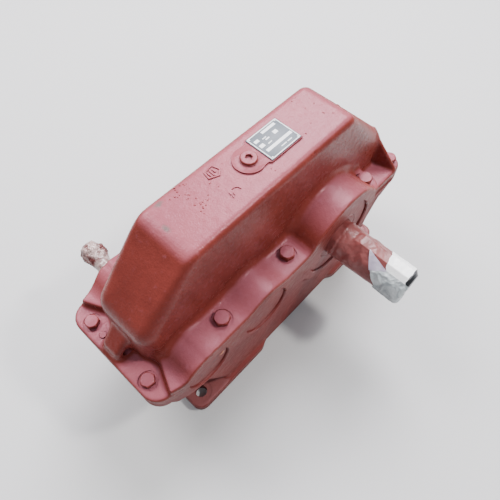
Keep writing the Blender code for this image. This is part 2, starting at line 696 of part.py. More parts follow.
# ---- caps and seals ----------------------------------------------------------------
def caps_and_seals(axes):
    """Embedded caps in the bores' grooves; two have the shafts and seals through them."""
    open_sides = {("input", 1): (0.0120, 0.0200), ("output", -1): (0.0260, 0.0360)}  # seal radii
    for place, (_, _, bore, groove) in PLACES.items():
        segments = BEARINGS[place][2]
        start = BEARING_INNER_FACE + BEARINGS[place][1] + GAP
        for side in (-1, 1):
            title = ("back", "front")[side < 0]
            rim, lip = bore - GAP, groove - GAP
            inside = GROOVE_Y[0] + GAP, GROOVE_Y[1] - GAP
            outer_line = [(rim, start), (rim, inside[0]), (lip, inside[0]), (lip, inside[1]),
                          (rim, inside[1]), (rim, CAP_FACE)]
            if (place, side) in open_sides:
                seat, pocket = open_sides[(place, side)]
                ledge = CAP_FACE - 0.0115
                inner_line = [(pocket, CAP_FACE), (pocket, ledge), (seat + 0.0015, ledge),
                              (seat + 0.0015, start)]
                seal_low, seal_high = ledge + GAP, CAP_FACE - 0.0010
                seal = [(pocket - GAP, seal_low), (pocket - GAP, seal_high),
                        (seat + 0.0006, seal_high), (seat + 0.0006, seal_low)]
                turned(f"{place}_oil_seal", downward([(r, side * y) for r, y in seal]),
                       segments, axes[place], RUBBER)
                profile = downward([(r, side * y) for r, y in outer_line + inner_line])
            else:
                line = [(0, start)] + outer_line + [(0, CAP_FACE)]
                profile = [(r, side * y) for r, y in (line if side < 0 else line[::-1])]
            turned(f"{place}_cap_{title}", profile, segments, axes[place], CAST_RED)


# ---- gears -------------------------------------------------------------------------
def gear_outline(teeth, module, flank_steps):
    """Involute spur outline in the plane across the shaft, a tooth's middle at angle 0."""
    pitch = module * teeth / math.cos(HELIX) / 2
    pressure = math.atan(math.tan(math.radians(20)) / math.cos(HELIX))
    base = pitch * math.cos(pressure)
    root = pitch - 1.27 * module
    tip = pitch + 0.94 * module

    def half_angle(radius):
        turn = math.acos(min(1, base / max(radius, base)))
        involute = math.tan(turn) - turn
        return (math.pi / (2 * teeth) - BACKLASH / pitch
                + math.tan(pressure) - pressure - involute)

    radii = [root + (tip - root) * step / flank_steps for step in range(flank_steps + 1)]
    points = []
    for tooth in range(teeth):
        middle = math.tau * tooth / teeth
        rising = [(r, middle - half_angle(r)) for r in radii]
        falling = [(r, middle + half_angle(r)) for r in reversed(radii)]
        for radius, angle in rising + falling:
            points.append(Vector((radius * math.cos(angle), radius * math.sin(angle))))
    return points


def twist(mesh, module, teeth, hand, middle):
    """Leans the teeth to their helix angle."""
    pitch = module * teeth / math.cos(HELIX) / 2
    for vertex in mesh.vertices:
        angle = hand * math.tan(HELIX) * (vertex.co.z - middle) / pitch
        vertex.co.xy = Matrix.Rotation(angle, 2) @ vertex.co.xy


def keyed_bore(radius, key_width, key_reach, segments):
    """Bore outline with the keyway's slot at its top, which is at local -Y."""
    half = key_width / 2 + GAP
    corner = radius / math.cos(math.pi / segments)
    edge = math.asin(half / corner)
    arc = circle(corner, segments, (0, 0), -math.pi / 2 + edge, math.tau - 2 * edge)
    return arc + [Vector((-half, -key_reach)), Vector((half, -key_reach))]


def wheel(name, module, teeth, span, hub, bore, key, axis):
    """Helical wheel: rim, web with a recess on both faces, and a hub with a keyway."""
    hub_radius, hub_low, hub_high = hub
    low, high = span
    mesh = extruded(name, [gear_outline(teeth, module, 1)], low, high)
    twist(mesh, module, teeth, -1, (low + high) / 2)
    obj = new_object(name, mesh)
    rim = module * teeth / math.cos(HELIX) / 2 - 3.7 * module
    for face, (start, end) in enumerate(((low - 0.01, low + 0.006), (high - 0.006, high + 0.01))):
        recess = new_object(f"{name}_recess_{face}", extruded(name, [
            circle(rim, 24), circle(hub_radius + 0.002, 16)], start, end), cutter=True)
        recess.parent = axis
        boolean(obj, recess, "DIFFERENCE")
    sleeve = rod(name + "_hub", hub_radius, hub_low, hub_high, 16, axis)
    boolean(obj, sleeve, "UNION")
    bore_outline = keyed_bore(bore + GAP, key["width"], key["top"] + GAP, 20)
    drill = new_object(name + "_bore", extruded(name, [bore_outline], -0.06, 0.06), cutter=True)
    drill.parent = axis
    boolean(obj, drill, "DIFFERENCE")
    clean_flats(obj)
    finish_part(obj, axis, GEAR_STEEL)
    return obj


def fit_key(name, shaft, axis, width, low, top, span):
    """Parallel key on top of its shaft, at local -Y, in a slot a gap larger all round."""
    half = width / 2
    start, end = span
    key = block(name, (-half, half), (-top, -low), span, axis, cutter=False)
    finish_part(key, axis, DARK_STEEL)
    slot = block(name + "_slot", (-half - GAP, half + GAP), (-low - 0.1, -low + GAP),
                 (start - GAP, end + GAP), axis)
    boolean(shaft, slot, "DIFFERENCE")


# ---- shafts ------------------------------------------------------------------------
def stepped(name, steps, segments, axis):
    """Shaft from (radius, start, end) steps given along +Y."""
    profile = [(0, steps[0][1])]
    for radius, low, high in steps:
        profile += [(radius, low), (radius, high)]
    profile.append((0, steps[-1][2]))
    return turned(name, profile[::-1], segments, axis, GEAR_STEEL)


def pinion(shaft, module, teeth, span, axis):
    """Pinion teeth cut on a shaft."""
    low, high = span
    mesh = extruded(shaft.name + "_teeth", [gear_outline(teeth, module, 3)], low, high)
    twist(mesh, module, teeth, 1, (low + high) / 2)
    teeth_solid = new_object(shaft.name + "_teeth", mesh, cutter=True)
    teeth_solid.parent = axis
    boolean(shaft, teeth_solid, "UNION")


def input_group(axis):
    """High-speed shaft with its pinion, drive key and the film round its free end."""
    steps = [(0.0125, -0.0582, -0.0397), (0.0132, -0.0397, 0.0397), (0.0125, 0.0397, 0.0640),
             (0.0120, 0.0640, 0.0900), (INPUT_RADIUS, 0.0900, INPUT_END)]
    shaft = stepped("input_pinion_shaft", steps, 20, axis)
    low, high = STAGE_1_Y
    pinion(shaft, MODULE_1, TEETH_1[0], (low - 0.0005, high + 0.0005), axis)
    fit_key("input_key", shaft, axis, **INPUT_KEY)
    clean_flats(shaft)
    snug, bulb = INPUT_RADIUS + 0.0004, INPUT_KEY["top"] + 0.0014
    profile = [(0, FILM_END), (0.0085, FILM_END), (0.0146, 0.1425), (0.0152, 0.1370), (0.0146, 0.1225),
               (0.0112, 0.1150), (0.0112, 0.0925), (snug, 0.0925), (snug, 0.1160), (bulb, 0.1215),
               (bulb, 0.1415), (snug, INPUT_END + GAP), (0, INPUT_END + GAP)]
    turned("input_shaft_wrap", profile, 20, axis, FILM)


def middle_group(axis):
    """Middle shaft with the stage 2 pinion, carrying the stage 1 wheel."""
    low, high = STAGE_2_Y
    steps = [(0.0150, -0.0605, -0.0393), (GEAR_SEAT_1, -0.0393, STAGE_1_Y[1] + GAP),
             (0.0200, STAGE_1_Y[1] + GAP, -0.0077), (0.0165, -0.0077, 0.0336),
             (0.0172, 0.0336, 0.0397), (0.0150, 0.0397, 0.0605)]
    shaft = stepped("middle_pinion_shaft", steps, 20, axis)
    pinion(shaft, MODULE_2, TEETH_2[0], (low - 0.0004, high + 0.0004), axis)
    fit_key("middle_gear_key", shaft, axis, **MIDDLE_KEY)
    clean_flats(shaft)
    wheel("middle_gear", MODULE_1, TEETH_1[1], STAGE_1_Y, (0.030, -0.0392, STAGE_1_Y[1] - 0.001),
          GEAR_SEAT_1, MIDDLE_KEY, axis)


def output_group(axis):
    """Low-speed shaft, its wheel, its drive key and the film round its free end."""
    low, high = STAGE_2_Y
    steps = [(OUTPUT_RADIUS, OUTPUT_END, -0.0920), (0.0260, -0.0920, -0.0716), (0.0275, -0.0716, -0.0397),
             (0.0330, -0.0397, -0.0170), (0.0380, -0.0170, low - GAP), (GEAR_SEAT_2, low - GAP, 0.0392),
             (0.0275, 0.0392, 0.0712)]
    shaft = stepped("output_shaft", steps, 24, axis)
    fit_key("output_gear_key", shaft, axis, **GEAR_KEY)
    fit_key("output_key", shaft, axis, **OUTPUT_KEY)
    wheel("output_gear", MODULE_2, TEETH_2[1], STAGE_2_Y, (0.048, low + 0.001, 0.0390),
          GEAR_SEAT_2, GEAR_KEY, axis)
    width, top = OUTPUT_KEY["width"], OUTPUT_KEY["top"]
    film = [keyed_bore(OUTPUT_RADIUS + grow, width + 2 * grow, top + grow, 28) for grow in (0.0013, GAP)]
    wrap = new_object("output_shaft_wrap", extruded("output_shaft_wrap", film,
                                                    OUTPUT_END + FILM_STOP, -0.0930))
    finish_part(wrap, axis, FILM)


def main():
    start_scene()
    frame = axis_empty("casing_frame", None, (FRAME_X, FRAME_Y, 0), False)
    axes = {}
    for place, (x, _, _, _) in PLACES.items():
        axes[place] = axis_empty(place + "_axis", frame, (x, 0, AXIS_HEIGHT), True)
    lower_housing(frame)
    upper_housing(frame)
    fasteners(frame)
    top_fittings(frame)
    end_plugs(frame)
    caps_and_seals(axes)
    for place, axis in axes.items():
        for side in (-1, 1):
            bearing(place, side, axis)
    input_group(axes["input"])
    middle_group(axes["middle"])
    output_group(axes["output"])


main()
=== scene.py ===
"""Looks of a two-stage helical gear reducer: painted castings, fasteners and film on the shafts.

Each casting is made as a foundry and a machine shop make it: a rough body with fillets comes
from a distance field, then bores, spot faces and the split face are cut from it. Lengths are
in metres, in the casing's own frame: X from the input shaft to the output shaft, Y along the
shafts, Z up, with the zero on the ground below the input shaft in the casing's middle plane.
"""
import itertools
import json
from math import acos, atan2, cos, hypot, pi, radians, sin, sqrt, tan, tau

import bmesh
import bpy
import numpy as np
from mathutils import Matrix, Vector, noise


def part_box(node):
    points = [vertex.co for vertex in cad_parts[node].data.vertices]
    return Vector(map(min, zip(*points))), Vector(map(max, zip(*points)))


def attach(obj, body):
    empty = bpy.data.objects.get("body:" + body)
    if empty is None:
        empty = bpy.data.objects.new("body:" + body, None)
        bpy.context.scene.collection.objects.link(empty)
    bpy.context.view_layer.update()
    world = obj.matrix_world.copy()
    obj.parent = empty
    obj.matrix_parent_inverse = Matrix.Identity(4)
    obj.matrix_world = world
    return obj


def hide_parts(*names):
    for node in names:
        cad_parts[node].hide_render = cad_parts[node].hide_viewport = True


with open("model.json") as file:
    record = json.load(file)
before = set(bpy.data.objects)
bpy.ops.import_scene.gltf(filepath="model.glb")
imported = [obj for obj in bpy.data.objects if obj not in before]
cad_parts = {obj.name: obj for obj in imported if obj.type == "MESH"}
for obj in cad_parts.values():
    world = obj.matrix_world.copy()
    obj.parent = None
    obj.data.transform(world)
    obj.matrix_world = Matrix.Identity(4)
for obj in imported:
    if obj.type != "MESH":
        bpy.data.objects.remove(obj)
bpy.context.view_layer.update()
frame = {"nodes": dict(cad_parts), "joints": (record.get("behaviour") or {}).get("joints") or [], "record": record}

# ---- places that the frame gives ----
SPIN = {joint["name"]: Vector(joint["pos_m"]) for joint in frame["joints"]}
ORIGIN = Vector((SPIN["input_spin"].x, SPIN["input_spin"].y, 0))
AXIS_Z = SPIN["input_spin"].z
SHAFT_X = {name: SPIN[name + "_spin"].x - ORIGIN.x for name in ("input", "middle", "output")}
CENTRE = {name: Vector((x, 0, AXIS_Z)) for name, x in SHAFT_X.items()}


def local_box(node):
    """A node's corners in the casing's own frame."""
    low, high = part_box(node)
    return low - ORIGIN, high - ORIGIN


CASE_LOW, CASE_HIGH = local_box("upper_housing")
PLATE_LOW, PLATE_HIGH = local_box("nameplate")
VENT_LOW, VENT_HIGH = local_box("breather_plug")
KEY_LOW, KEY_HIGH = local_box("output_key")
FILM_END = local_box("output_shaft_wrap")[0].y
VENT = (VENT_LOW + VENT_HIGH) / 2

# ---- casting sizes ----
GAP = 0.0003
SPLIT_Z = AXIS_Z
FLANGE_X = (CASE_LOW.x, CASE_HIGH.x)
FLANGE_HALF = 0.081
FLANGE_THICK = 0.015
FLANGE_TOP = SPLIT_Z + FLANGE_THICK
FLANGE_RADIUS = 0.022
SIDE_HALF = CASE_HIGH.y
SIDE_X = (-0.054, 0.3355)
SIDE_TOP = 0.201
LEDGE_TOP = 0.186
SIDE_BOTTOM = 0.135
HOOD_X = (-0.046, 0.392)
HOOD_TOP_X = (0.035, 0.296)
HOOD_TOP = 0.318
HOOD_HALF = (0.046, 0.041)  # at its foot and at its top
WALL = 0.007
BODY_HALF = 0.082
FOOT_THICK = 0.018
FOOT_X = ((-0.031, 0.112), (0.265, 0.39))
FOOT_RADIUS = 0.015
BASE_RELIEF = 0.003
PAD_TOP = CASE_HIGH.z
BOSS = {"input": 0.042, "middle": 0.05, "output": 0.08}
BORE = {"input": 0.031, "middle": 0.036, "output": 0.06}
GROOVE_DEPTH = 0.004
GROOVE_Y = (0.0745, 0.0805)
CAP_FACE = 0.087
# run and depth of the beam's cut corners, left and right, in front (-1) and at the back
CORNER_CUTS = {-1: ((0.021, 0.006), (0.0095, 0.012)), 1: ((0.04, 0.01), (0.0095, 0.012))}
BEAM_LEFT_INNER = -0.031  # the beam's left end slants from here to its outer corner
CAP_RECESS = 0.0022  # bearing caps sit this deep in their bosses
SIDE_BOLTS = {"input": (0.043, 0.067), "middle": (0.159, 0.0655), "output": (0.3215, 0.066)}
END_BOLTS = {"left": (-0.06, 0.0505), "right": (0.4005, 0.062)}
ANCHORS = [(x, side * 0.067) for x in (-0.01, 0.369) for side in (-1, 1)]
EYES = {"left": (-0.0545, 0.1865), "right": (0.3975, 0.19)}
SIDES = {"front": -1, "back": 1}
# radius of each plug's boss and hole, and its head's width across flats
PLUGS = {"drain_plug": (0.016, 0.0083, 0.022), "oil_level_plug": (0.013, 0.0063, 0.017)}
PLUG_Z = {name: sum(corner.z for corner in local_box(name)) / 2 for name in PLUGS}
PLUG_WALL_X = 0.395  # outer face of the bosses that hold the plugs
EDGE = 0.0035  # rounding of the castings' flange and beams
SPLIT_STOCK = 0.007  # rough casting beyond the split face, machined away
CAVITY_EDGE = 0.006
VENT_RADIUS = 0.0083
EYE_RADIUS = 0.0065
SIDE_HOLES = (0.0066, 0.0128)  # radius of the hole and of its spot face
END_HOLES = (0.0056, 0.0118)
ANCHOR_HOLES = (0.0085, 0.016)

# ---- sizes of what goes round and into the castings ----
ROUND = 96  # sides of the large turned shapes
SEAT_DEPTH = 0.001  # spot faces below the bolts' heads
SIDE_HEAD = (0.018, 0.0075, 0.006, 0.064)  # across flats, head height, shank radius, shank length
END_HEAD = (0.016, 0.0066, 0.005, 0.042)
NUT_HEIGHT = 0.0084
OUTPUT_RADIUS = 0.025
OUTPUT_SEAT = 0.026  # radius below the output shaft's seal
KEY_TOP = KEY_HIGH.z - AXIS_Z
KEY_HALF = (KEY_HIGH.x - KEY_LOW.x) / 2
FOLD = 0.008  # radius of the film's fold over the shaft's end

# ---- how fine the castings are made ----
STEP = 0.0017
KEEP_FACES = 0.3  # share left after the flat stretches are thinned out


# ---- distance fields ----
class Grid:
    """Sample places round the castings between two heights, as arrays that broadcast."""

    def __init__(self, bottom, top):
        self.low = np.array((FLANGE_X[0] - 0.004, -0.092, bottom), np.float32)
        high = np.array((FLANGE_X[1] + 0.004, 0.092, top))
        counts = np.ceil((high - self.low) / STEP).astype(int) + 1
        lines = [self.low[axis] + STEP * np.arange(counts[axis], dtype=np.float32) for axis in range(3)]
        self.x = lines[0][:, None, None]
        self.y = lines[1][None, :, None]
        self.z = lines[2][None, None, :]


def span(t, low, high):
    """Distance to the stretch between two values."""
    return np.maximum(low - t, t - high)


def disc(u, v, centre, radius):
    """Distance to a disc in a plane."""
    return np.sqrt((u - centre[0]) ** 2 + (v - centre[1]) ** 2) - radius


def polygon(u, v, points):
    """Distance in a plane to a closed outline, negative inside it."""
    nearest = np.float32(1e9)
    inside = False
    for (u0, v0), (u1, v1) in zip(points, list(points[1:]) + [points[0]]):
        du, dv = u1 - u0, v1 - v0
        share = np.clip(((u - u0) * du + (v - v0) * dv) / (du * du + dv * dv), 0, 1)
        nearest = np.minimum(nearest, (u - u0 - share * du) ** 2 + (v - v0 - share * dv) ** 2)
        if v0 != v1:
            inside = inside ^ (((v0 > v) != (v1 > v)) & (u < u0 + du * (v - v0) / dv))
    return np.sqrt(nearest) * np.where(inside, -1, 1)


def join(a, b, fillet):
    """Union with a concave fillet where the two shapes meet."""
    corner = np.hypot(np.maximum(fillet - a, 0), np.maximum(fillet - b, 0))
    return np.maximum(fillet, np.minimum(a, b)) - corner


def meet(a, b, edge):
    """Intersection with a rounded edge."""
    return np.minimum(-edge, np.maximum(a, b)) + np.hypot(np.maximum(edge + a, 0), np.maximum(edge + b, 0))


def mesh_of(name, points, quads):
    """A mesh from arrays of points and of four-cornered faces."""
    mesh = bpy.data.meshes.new(name)
    mesh.vertices.add(len(points))
    mesh.vertices.foreach_set("co", points.astype(np.float32).ravel())
    mesh.loops.add(4 * len(quads))
    mesh.loops.foreach_set("vertex_index", quads.astype(np.int32).ravel())
    mesh.polygons.add(len(quads))
    mesh.polygons.foreach_set("loop_start", np.arange(0, 4 * len(quads), 4, dtype=np.int32))
    mesh.update(calc_edges=True)
    return mesh


def surface(name, grid, field):
    """Closed mesh round the negative part of a field: one point in each cell that it crosses."""
    inside = field < 0
    cells = np.array(field.shape) - 1
    corners = list(itertools.product((0, 1), repeat=3))
    filled = sum(inside[a:a + cells[0], b:b + cells[1], c:c + cells[2]].astype(np.int8)
                 for a, b, c in corners)
    crossed = np.argwhere((filled > 0) & (filled < 8))
    number = np.full(cells, -1, np.int32)
    number[tuple(crossed.T)] = np.arange(len(crossed))
    place = np.zeros((len(crossed), 3))
    hits = np.zeros(len(crossed))
    for start, end in itertools.combinations(corners, 2):
        if sum(end) - sum(start) != 1 or sum(a != b for a, b in zip(start, end)) != 1:
            continue
        first = field[tuple((crossed + start).T)]
        last = field[tuple((crossed + end).T)]
        cut = (first < 0) != (last < 0)
        share = np.where(cut, first / np.where(cut, first - last, 1), 0)
        place += cut[:, None] * (np.array(start) + share[:, None] * (np.array(end) - start))
        hits += cut
    points = grid.low + STEP * (crossed + place / hits[:, None])
    quads = []
    for axis in range(3):
        u, v = (axis + 1) % 3, (axis + 2) % 3
        near = np.take(inside, range(inside.shape[axis] - 1), axis)
        far = np.take(inside, range(1, inside.shape[axis]), axis)
        edges = np.argwhere(near != far)
        edges = edges[(edges[:, u] > 0) & (edges[:, v] > 0)
                      & (edges[:, u] < cells[u]) & (edges[:, v] < cells[v])]
        unit = np.eye(3, dtype=int)
        ring = np.stack([number[tuple((edges - back_u * unit[u] - back_v * unit[v]).T)]
                         for back_u, back_v in ((1, 1), (0, 1), (0, 0), (1, 0))], 1)
        outward = inside[tuple(edges.T)]
        quads.append(np.where(outward[:, None], ring, ring[:, ::-1]))
    return mesh_of(name, points, np.concatenate(quads))


# ---- mesh helpers ----
def mesh_from(bm, name):
    """Mesh of what a bmesh holds, which is cleared away."""
    mesh = bpy.data.meshes.new(name)
    bm.to_mesh(mesh)
    bm.free()
    return mesh


def add(name, data):
    """A mesh, curve, lamp or camera as a new object in the scene."""
    obj = bpy.data.objects.new(name, data)
    bpy.context.scene.collection.objects.link(obj)
    return obj


def drop(*objects):
    """Takes objects out of the file."""
    for obj in objects:
        bpy.data.objects.remove(obj)


def bake(obj):
    """Works an object's modifiers into its mesh."""
    bpy.context.view_layer.update()
    graph = bpy.context.evaluated_depsgraph_get()
    mesh = bpy.data.meshes.new_from_object(obj.evaluated_get(graph))
    obj.modifiers.clear()
    obj.data = mesh
    return obj


def soften(obj, angle=35):
    """Smooth shading with creases where the surface turns sharply."""
    obj.data.shade_smooth()
    obj.data.set_sharp_from_angle(angle=radians(angle))
    return obj


def cut(obj, tools, operation="DIFFERENCE", solver="MANIFOLD"):
    """Machines an object with each tool in turn, and clears the tools away."""
    for tool in tools:
        modifier = obj.modifiers.new(tool.name, "BOOLEAN")
        modifier.operation = operation
        modifier.solver = solver
        modifier.object = tool
    bake(obj)
    drop(*tools)
    return obj


def lathe(name, profile, segments, closed=False):
    """Mesh turned about Y from (radius, y) points; an open profile starts and ends on the axis."""
    bm = bmesh.new()
    rings = []
    for radius, y in profile:
        if radius == 0:
            rings.append([bm.verts.new((0, y, 0))])
            continue
        angles = [tau * step / segments for step in range(segments)]
        rings.append([bm.verts.new((radius * sin(a), y, radius * cos(a))) for a in angles])
    pairs = list(zip(rings, rings[1:] + rings[:1])) if closed else list(zip(rings, rings[1:]))
    for first, second in pairs:
        for step in range(segments):
            after = (step + 1) % segments
            loop = [first[step % len(first)], first[after % len(first)],
                    second[after % len(second)], second[step % len(second)]]
            bm.faces.new(list(dict.fromkeys(loop)))
    bmesh.ops.recalc_face_normals(bm, faces=bm.faces)
    return mesh_from(bm, name)


def place(obj, location, turn=None):
    """Puts an object at a place, with its mesh turned first if need be."""
    if turn is not None:
        obj.data.transform(turn)
    obj.location = location
    return obj


UPRIGHT = Matrix.Rotation(pi / 2, 4, "X")  # turned pieces stand up along Z
ALONG_X = Matrix.Rotation(-pi / 2, 4, "Z")  # or lie along X


def turned(name, profile, segments, location=(0, 0, 0), turn=None, closed=False):
    """Turned piece from its profile, at a place."""
    return place(add(name, lathe(name, profile, segments, closed)), location, turn)


def cylinder(name, radius, start, end, segments, location, turn=None):
    """Solid cylinder between two distances along its axis."""
    profile = [(0, start), (radius, start), (radius, end), (0, end)]
    return turned(name, profile, segments, location, turn)


def box(name, low, high):
    """Solid box between two corners."""
    bm = bmesh.new()
    bmesh.ops.create_cube(bm, size=1)
    bmesh.ops.scale(bm, verts=bm.verts, vec=[b - a for a, b in zip(low, high)])
    return place(add(name, mesh_from(bm, name)), [(a + b) / 2 for a, b in zip(low, high)])


def rounded(corners):
    """Closed outline through (u, v, radius) corners, each radius drawn as an arc of six steps."""
    points = []
    for index, (u, v, radius) in enumerate(corners):
        here = Vector((u, v))
        if radius == 0:
            points.append(tuple(here))
            continue
        before = (Vector(corners[index - 1][:2]) - here).normalized()
        after = (Vector(corners[(index + 1) % len(corners)][:2]) - here).normalized()
        half = before.angle(after) / 2
        centre = here + (before + after).normalized() * radius / sin(half)
        first = here + before * radius / tan(half) - centre
        last = here + after * radius / tan(half) - centre
        turn = atan2(first.cross(last), first.dot(last))
        points += [tuple(centre + Matrix.Rotation(turn * step / 6, 2) @ first) for step in range(7)]
    return points


def prism(name, outlines, low, high):
    """Solid of flat X-Y outlines, the first outside and the rest holes, between two heights."""
    curve = bpy.data.curves.new(name, "CURVE")
    curve.dimensions = "2D"
    curve.fill_mode = "BOTH"
    curve.extrude = (high - low) / 2
    for outline in outlines:
        spline = curve.splines.new("POLY")
        spline.points.add(len(outline) - 1)
        for point, (x, y) in zip(spline.points, outline):
            point.co = (x, y, 0, 1)
        spline.use_cyclic_u = True
    holder = add(name, curve)
    mesh = bpy.data.meshes.new_from_object(holder.evaluated_get(bpy.context.evaluated_depsgraph_get()))
    drop(holder)
    bm = bmesh.new()
    bm.from_mesh(mesh)
    bmesh.ops.remove_doubles(bm, verts=bm.verts, dist=1e-6)
    bmesh.ops.translate(bm, verts=bm.verts, vec=(0, 0, (low + high) / 2))
    bmesh.ops.recalc_face_normals(bm, faces=bm.faces)
    bm.to_mesh(mesh)
    bm.free()
    return add(name, mesh)


def bevel(obj, width):
    """Rounds an object's sharp edges."""
    modifier = obj.modifiers.new("edges", "BEVEL")
    modifier.width = width
    modifier.segments = 2
    modifier.limit_method = "ANGLE"
    modifier.angle_limit = radians(30)
    return bake(obj)


# ---- castings ----
def hood_outline(inset, low):
    """Corners of the hood's side view, moved in by an inset."""
    slope = inset * tan(radians(22.5))
    left, right, top = HOOD_X[0] + inset, HOOD_X[1] - inset, HOOD_TOP - inset
    rise, fall = HOOD_TOP_X[0] - HOOD_X[0], HOOD_X[1] - HOOD_TOP_X[1]
    return [(left, low, 0), (left, HOOD_TOP - rise - slope, 0.034),
            (HOOD_TOP_X[0] + slope, top, 0.026 - inset), (HOOD_TOP_X[1] - slope, top, 0.02 - inset),
            (right, HOOD_TOP - fall - slope, 0.03), (right, low, 0)]


def hood_half(z):
    """Half the hood's width at a height, with the pattern's draft."""
    share = (z - SPLIT_Z - FLANGE_THICK) / (HOOD_TOP - SPLIT_Z - FLANGE_THICK)
    return HOOD_HALF[0] + (HOOD_HALF[1] - HOOD_HALF[0]) * share


def beam_plan(x, y):
    """The bearing beam on both sides, seen from above, with its corners cut back."""
    plans = []
    for side in (-1, 1):
        (run_left, depth_left), (run_right, depth_right) = CORNER_CUTS[side]
        left, right = SIDE_X
        outline = [(BEAM_LEFT_INNER, 0.03), (left, SIDE_HALF - depth_left), (left + run_left, SIDE_HALF),
                   (right - run_right, SIDE_HALF), (right, SIDE_HALF - depth_right), (right, 0.03)]
        plans.append(polygon(x, np.abs(y), outline))
    return np.where(y < 0, plans[0], plans[1])


def rounded_polygon(u, v, corners):
    """Distance in a plane to an outline of (u, v, radius) corners."""
    return polygon(u, v, rounded(corners))


def rectangle(x, y, ends, half, radius):
    """A plan with rounded corners between two ends, as far out on both sides."""
    left, right = ends
    corners = ((left, -half), (right, -half), (right, half), (left, half))
    return rounded_polygon(x, y, [(*corner, radius) for corner in corners])


def flange_plan(x, y):
    """Both castings' flange, seen from above."""
    return rectangle(x, y, FLANGE_X, FLANGE_HALF, FLANGE_RADIUS)


def inside_box(body, x, out):
    """Trims what the fillets add beyond the casting's ends and sides."""
    return np.maximum(np.maximum(body, span(x, *FLANGE_X)), out - SIDE_HALF)


def upper_field(grid):
    """Upper casting before machining."""
    x, y, z = grid.x, grid.y, grid.z
    out = np.abs(y)
    bottom = SPLIT_Z - SPLIT_STOCK
    low_share = np.clip((0.3 - z) / 0.1, 0, 1)
    edge = 0.0095 + 0.0145 * low_share  # the hood's edges are rounder towards its foot
    body = meet(rounded_polygon(x, z, hood_outline(0, bottom)), out - hood_half(z), edge)
    profile = join(meet(span(x, 0, SIDE_X[1]), z - SIDE_TOP, 0.004),
                   meet(span(x, SIDE_X[0], 0.02), z - LEDGE_TOP, 0.004), 0.004)
    for name, radius in BOSS.items():
        profile = join(profile, disc(x, z, (SHAFT_X[name], AXIS_Z), radius), 0.007)
    profile = meet(profile, bottom - z, 0.001)
    beam = meet(profile, beam_plan(x, y), EDGE)
    body = join(body, beam, 0.011)
    flange = meet(flange_plan(x, y), span(z, bottom, FLANGE_TOP), EDGE)
    body = join(body, flange, 0.006)
    left_lug = [(-0.03, bottom, 0), (-0.0705, bottom, 0), (-0.0685, 0.189, 0.012),
                (-0.052, 0.207, 0.014), (-0.03, 0.215, 0)]
    right_lug = [(0.38, bottom, 0), (0.4085, bottom, 0), (0.4085, 0.206, 0.018), (0.38, 0.214, 0)]
    for corners, middle, half in ((left_lug, 0.0035, 0.015), (right_lug, -0.0035, 0.0145)):
        lug = meet(rounded_polygon(x, z, corners), np.abs(y - middle) - half, 0.007)
        body = join(body, lug, 0.009)
    # thin webs run from the hood's right corners to the flange's corners
    root_x, root_y, angle = 0.381, 0.042, radians(76.7)
    u = (x - root_x) * cos(angle) + (out - root_y) * sin(angle)
    w = (out - root_y) * cos(angle) - (x - root_x) * sin(angle)
    web = [(-0.01, bottom), (0.037, bottom), (0.037, 0.179), (-0.01, 0.234)]
    body = join(body, meet(polygon(u, z, web), np.abs(w) - 0.003, 0.0025), 0.006)
    inner = rounded_polygon(x, z, hood_outline(WALL, bottom - 0.02))
    cavity = meet(inner, out - hood_half(z) + WALL, CAVITY_EDGE)
    return inside_box(meet(body, -cavity, 0.002), x, out)


def lower_field(grid):
    """Lower casting before machining."""
    x, y, z = grid.x, grid.y, grid.z
    out = np.abs(y)
    top = SPLIT_Z + SPLIT_STOCK
    left, right = HOOD_X
    foot = FOOT_X[0][0]
    sump = [(left, top, 0), (left, 0.12, 0.02), (foot, 0.05, 0.02), (foot, BASE_RELIEF, 0),
            (0.39, BASE_RELIEF, 0), (right, 0.06, 0), (right, top, 0)]
    body = meet(rounded_polygon(x, z, sump), out - HOOD_HALF[0], 0.01)
    wide = [(-0.036, top, 0), (-0.033, 0.158, 0.01), (0.03, FOOT_THICK, 0), (0.032, BASE_RELIEF, 0),
            (0.338, BASE_RELIEF, 0), (0.34, 0.05, 0), (0.346, 0.1, 0.03), (0.366, 0.146, 0.02),
            (0.386, 0.158, 0), (0.386, top, 0)]
    body = join(body, meet(rounded_polygon(x, z, wide), out - BODY_HALF, 0.006), 0.012)
    profile = meet(span(x, *SIDE_X), SIDE_BOTTOM - z, 0.006)
    for name, radius in BOSS.items():
        profile = join(profile, disc(x, z, (SHAFT_X[name], AXIS_Z), radius - 0.004), 0.008)
    beam = meet(meet(profile, z - top, 0.001), beam_plan(x, y), EDGE)
    body = join(body, beam, 0.006)
    flange = meet(flange_plan(x, y), span(z, SPLIT_Z - FLANGE_THICK, top), EDGE)
    body = join(body, flange, 0.006)
    for ends in FOOT_X:
        plan = rectangle(x, y, ends, SIDE_HALF, FOOT_RADIUS)
        body = join(body, meet(plan, span(z, 0, FOOT_THICK), 0.003), 0.007)
    for name, (radius, _, _) in PLUGS.items():
        boss = meet(disc(y, z, (0, PLUG_Z[name]), radius), span(x, 0.37, PLUG_WALL_X), 0.0015)
        body = join(body, boss, 0.004)
    inner = [(left + WALL, top + 0.02, 0), (left + WALL, 0.118, 0.015), (-0.022, 0.052, 0.015),
             (-0.022, 0.022, 0.004), (right - WALL, 0.022, 0.004), (right - WALL, top + 0.02, 0)]
    cavity = meet(rounded_polygon(x, z, inner), out - HOOD_HALF[0] + WALL, CAVITY_EDGE)
    return inside_box(meet(body, -cavity, 0.002), x, out)


def casting(name, bottom, top, field):
    """A rough casting from its field between two heights, with few faces on its flat stretches."""
    grid = Grid(bottom, top)
    obj = add(name, surface(name, grid, field(grid)))
    thin = obj.modifiers.new("thin", "DECIMATE")
    thin.ratio = KEEP_FACES
    return bake(obj)


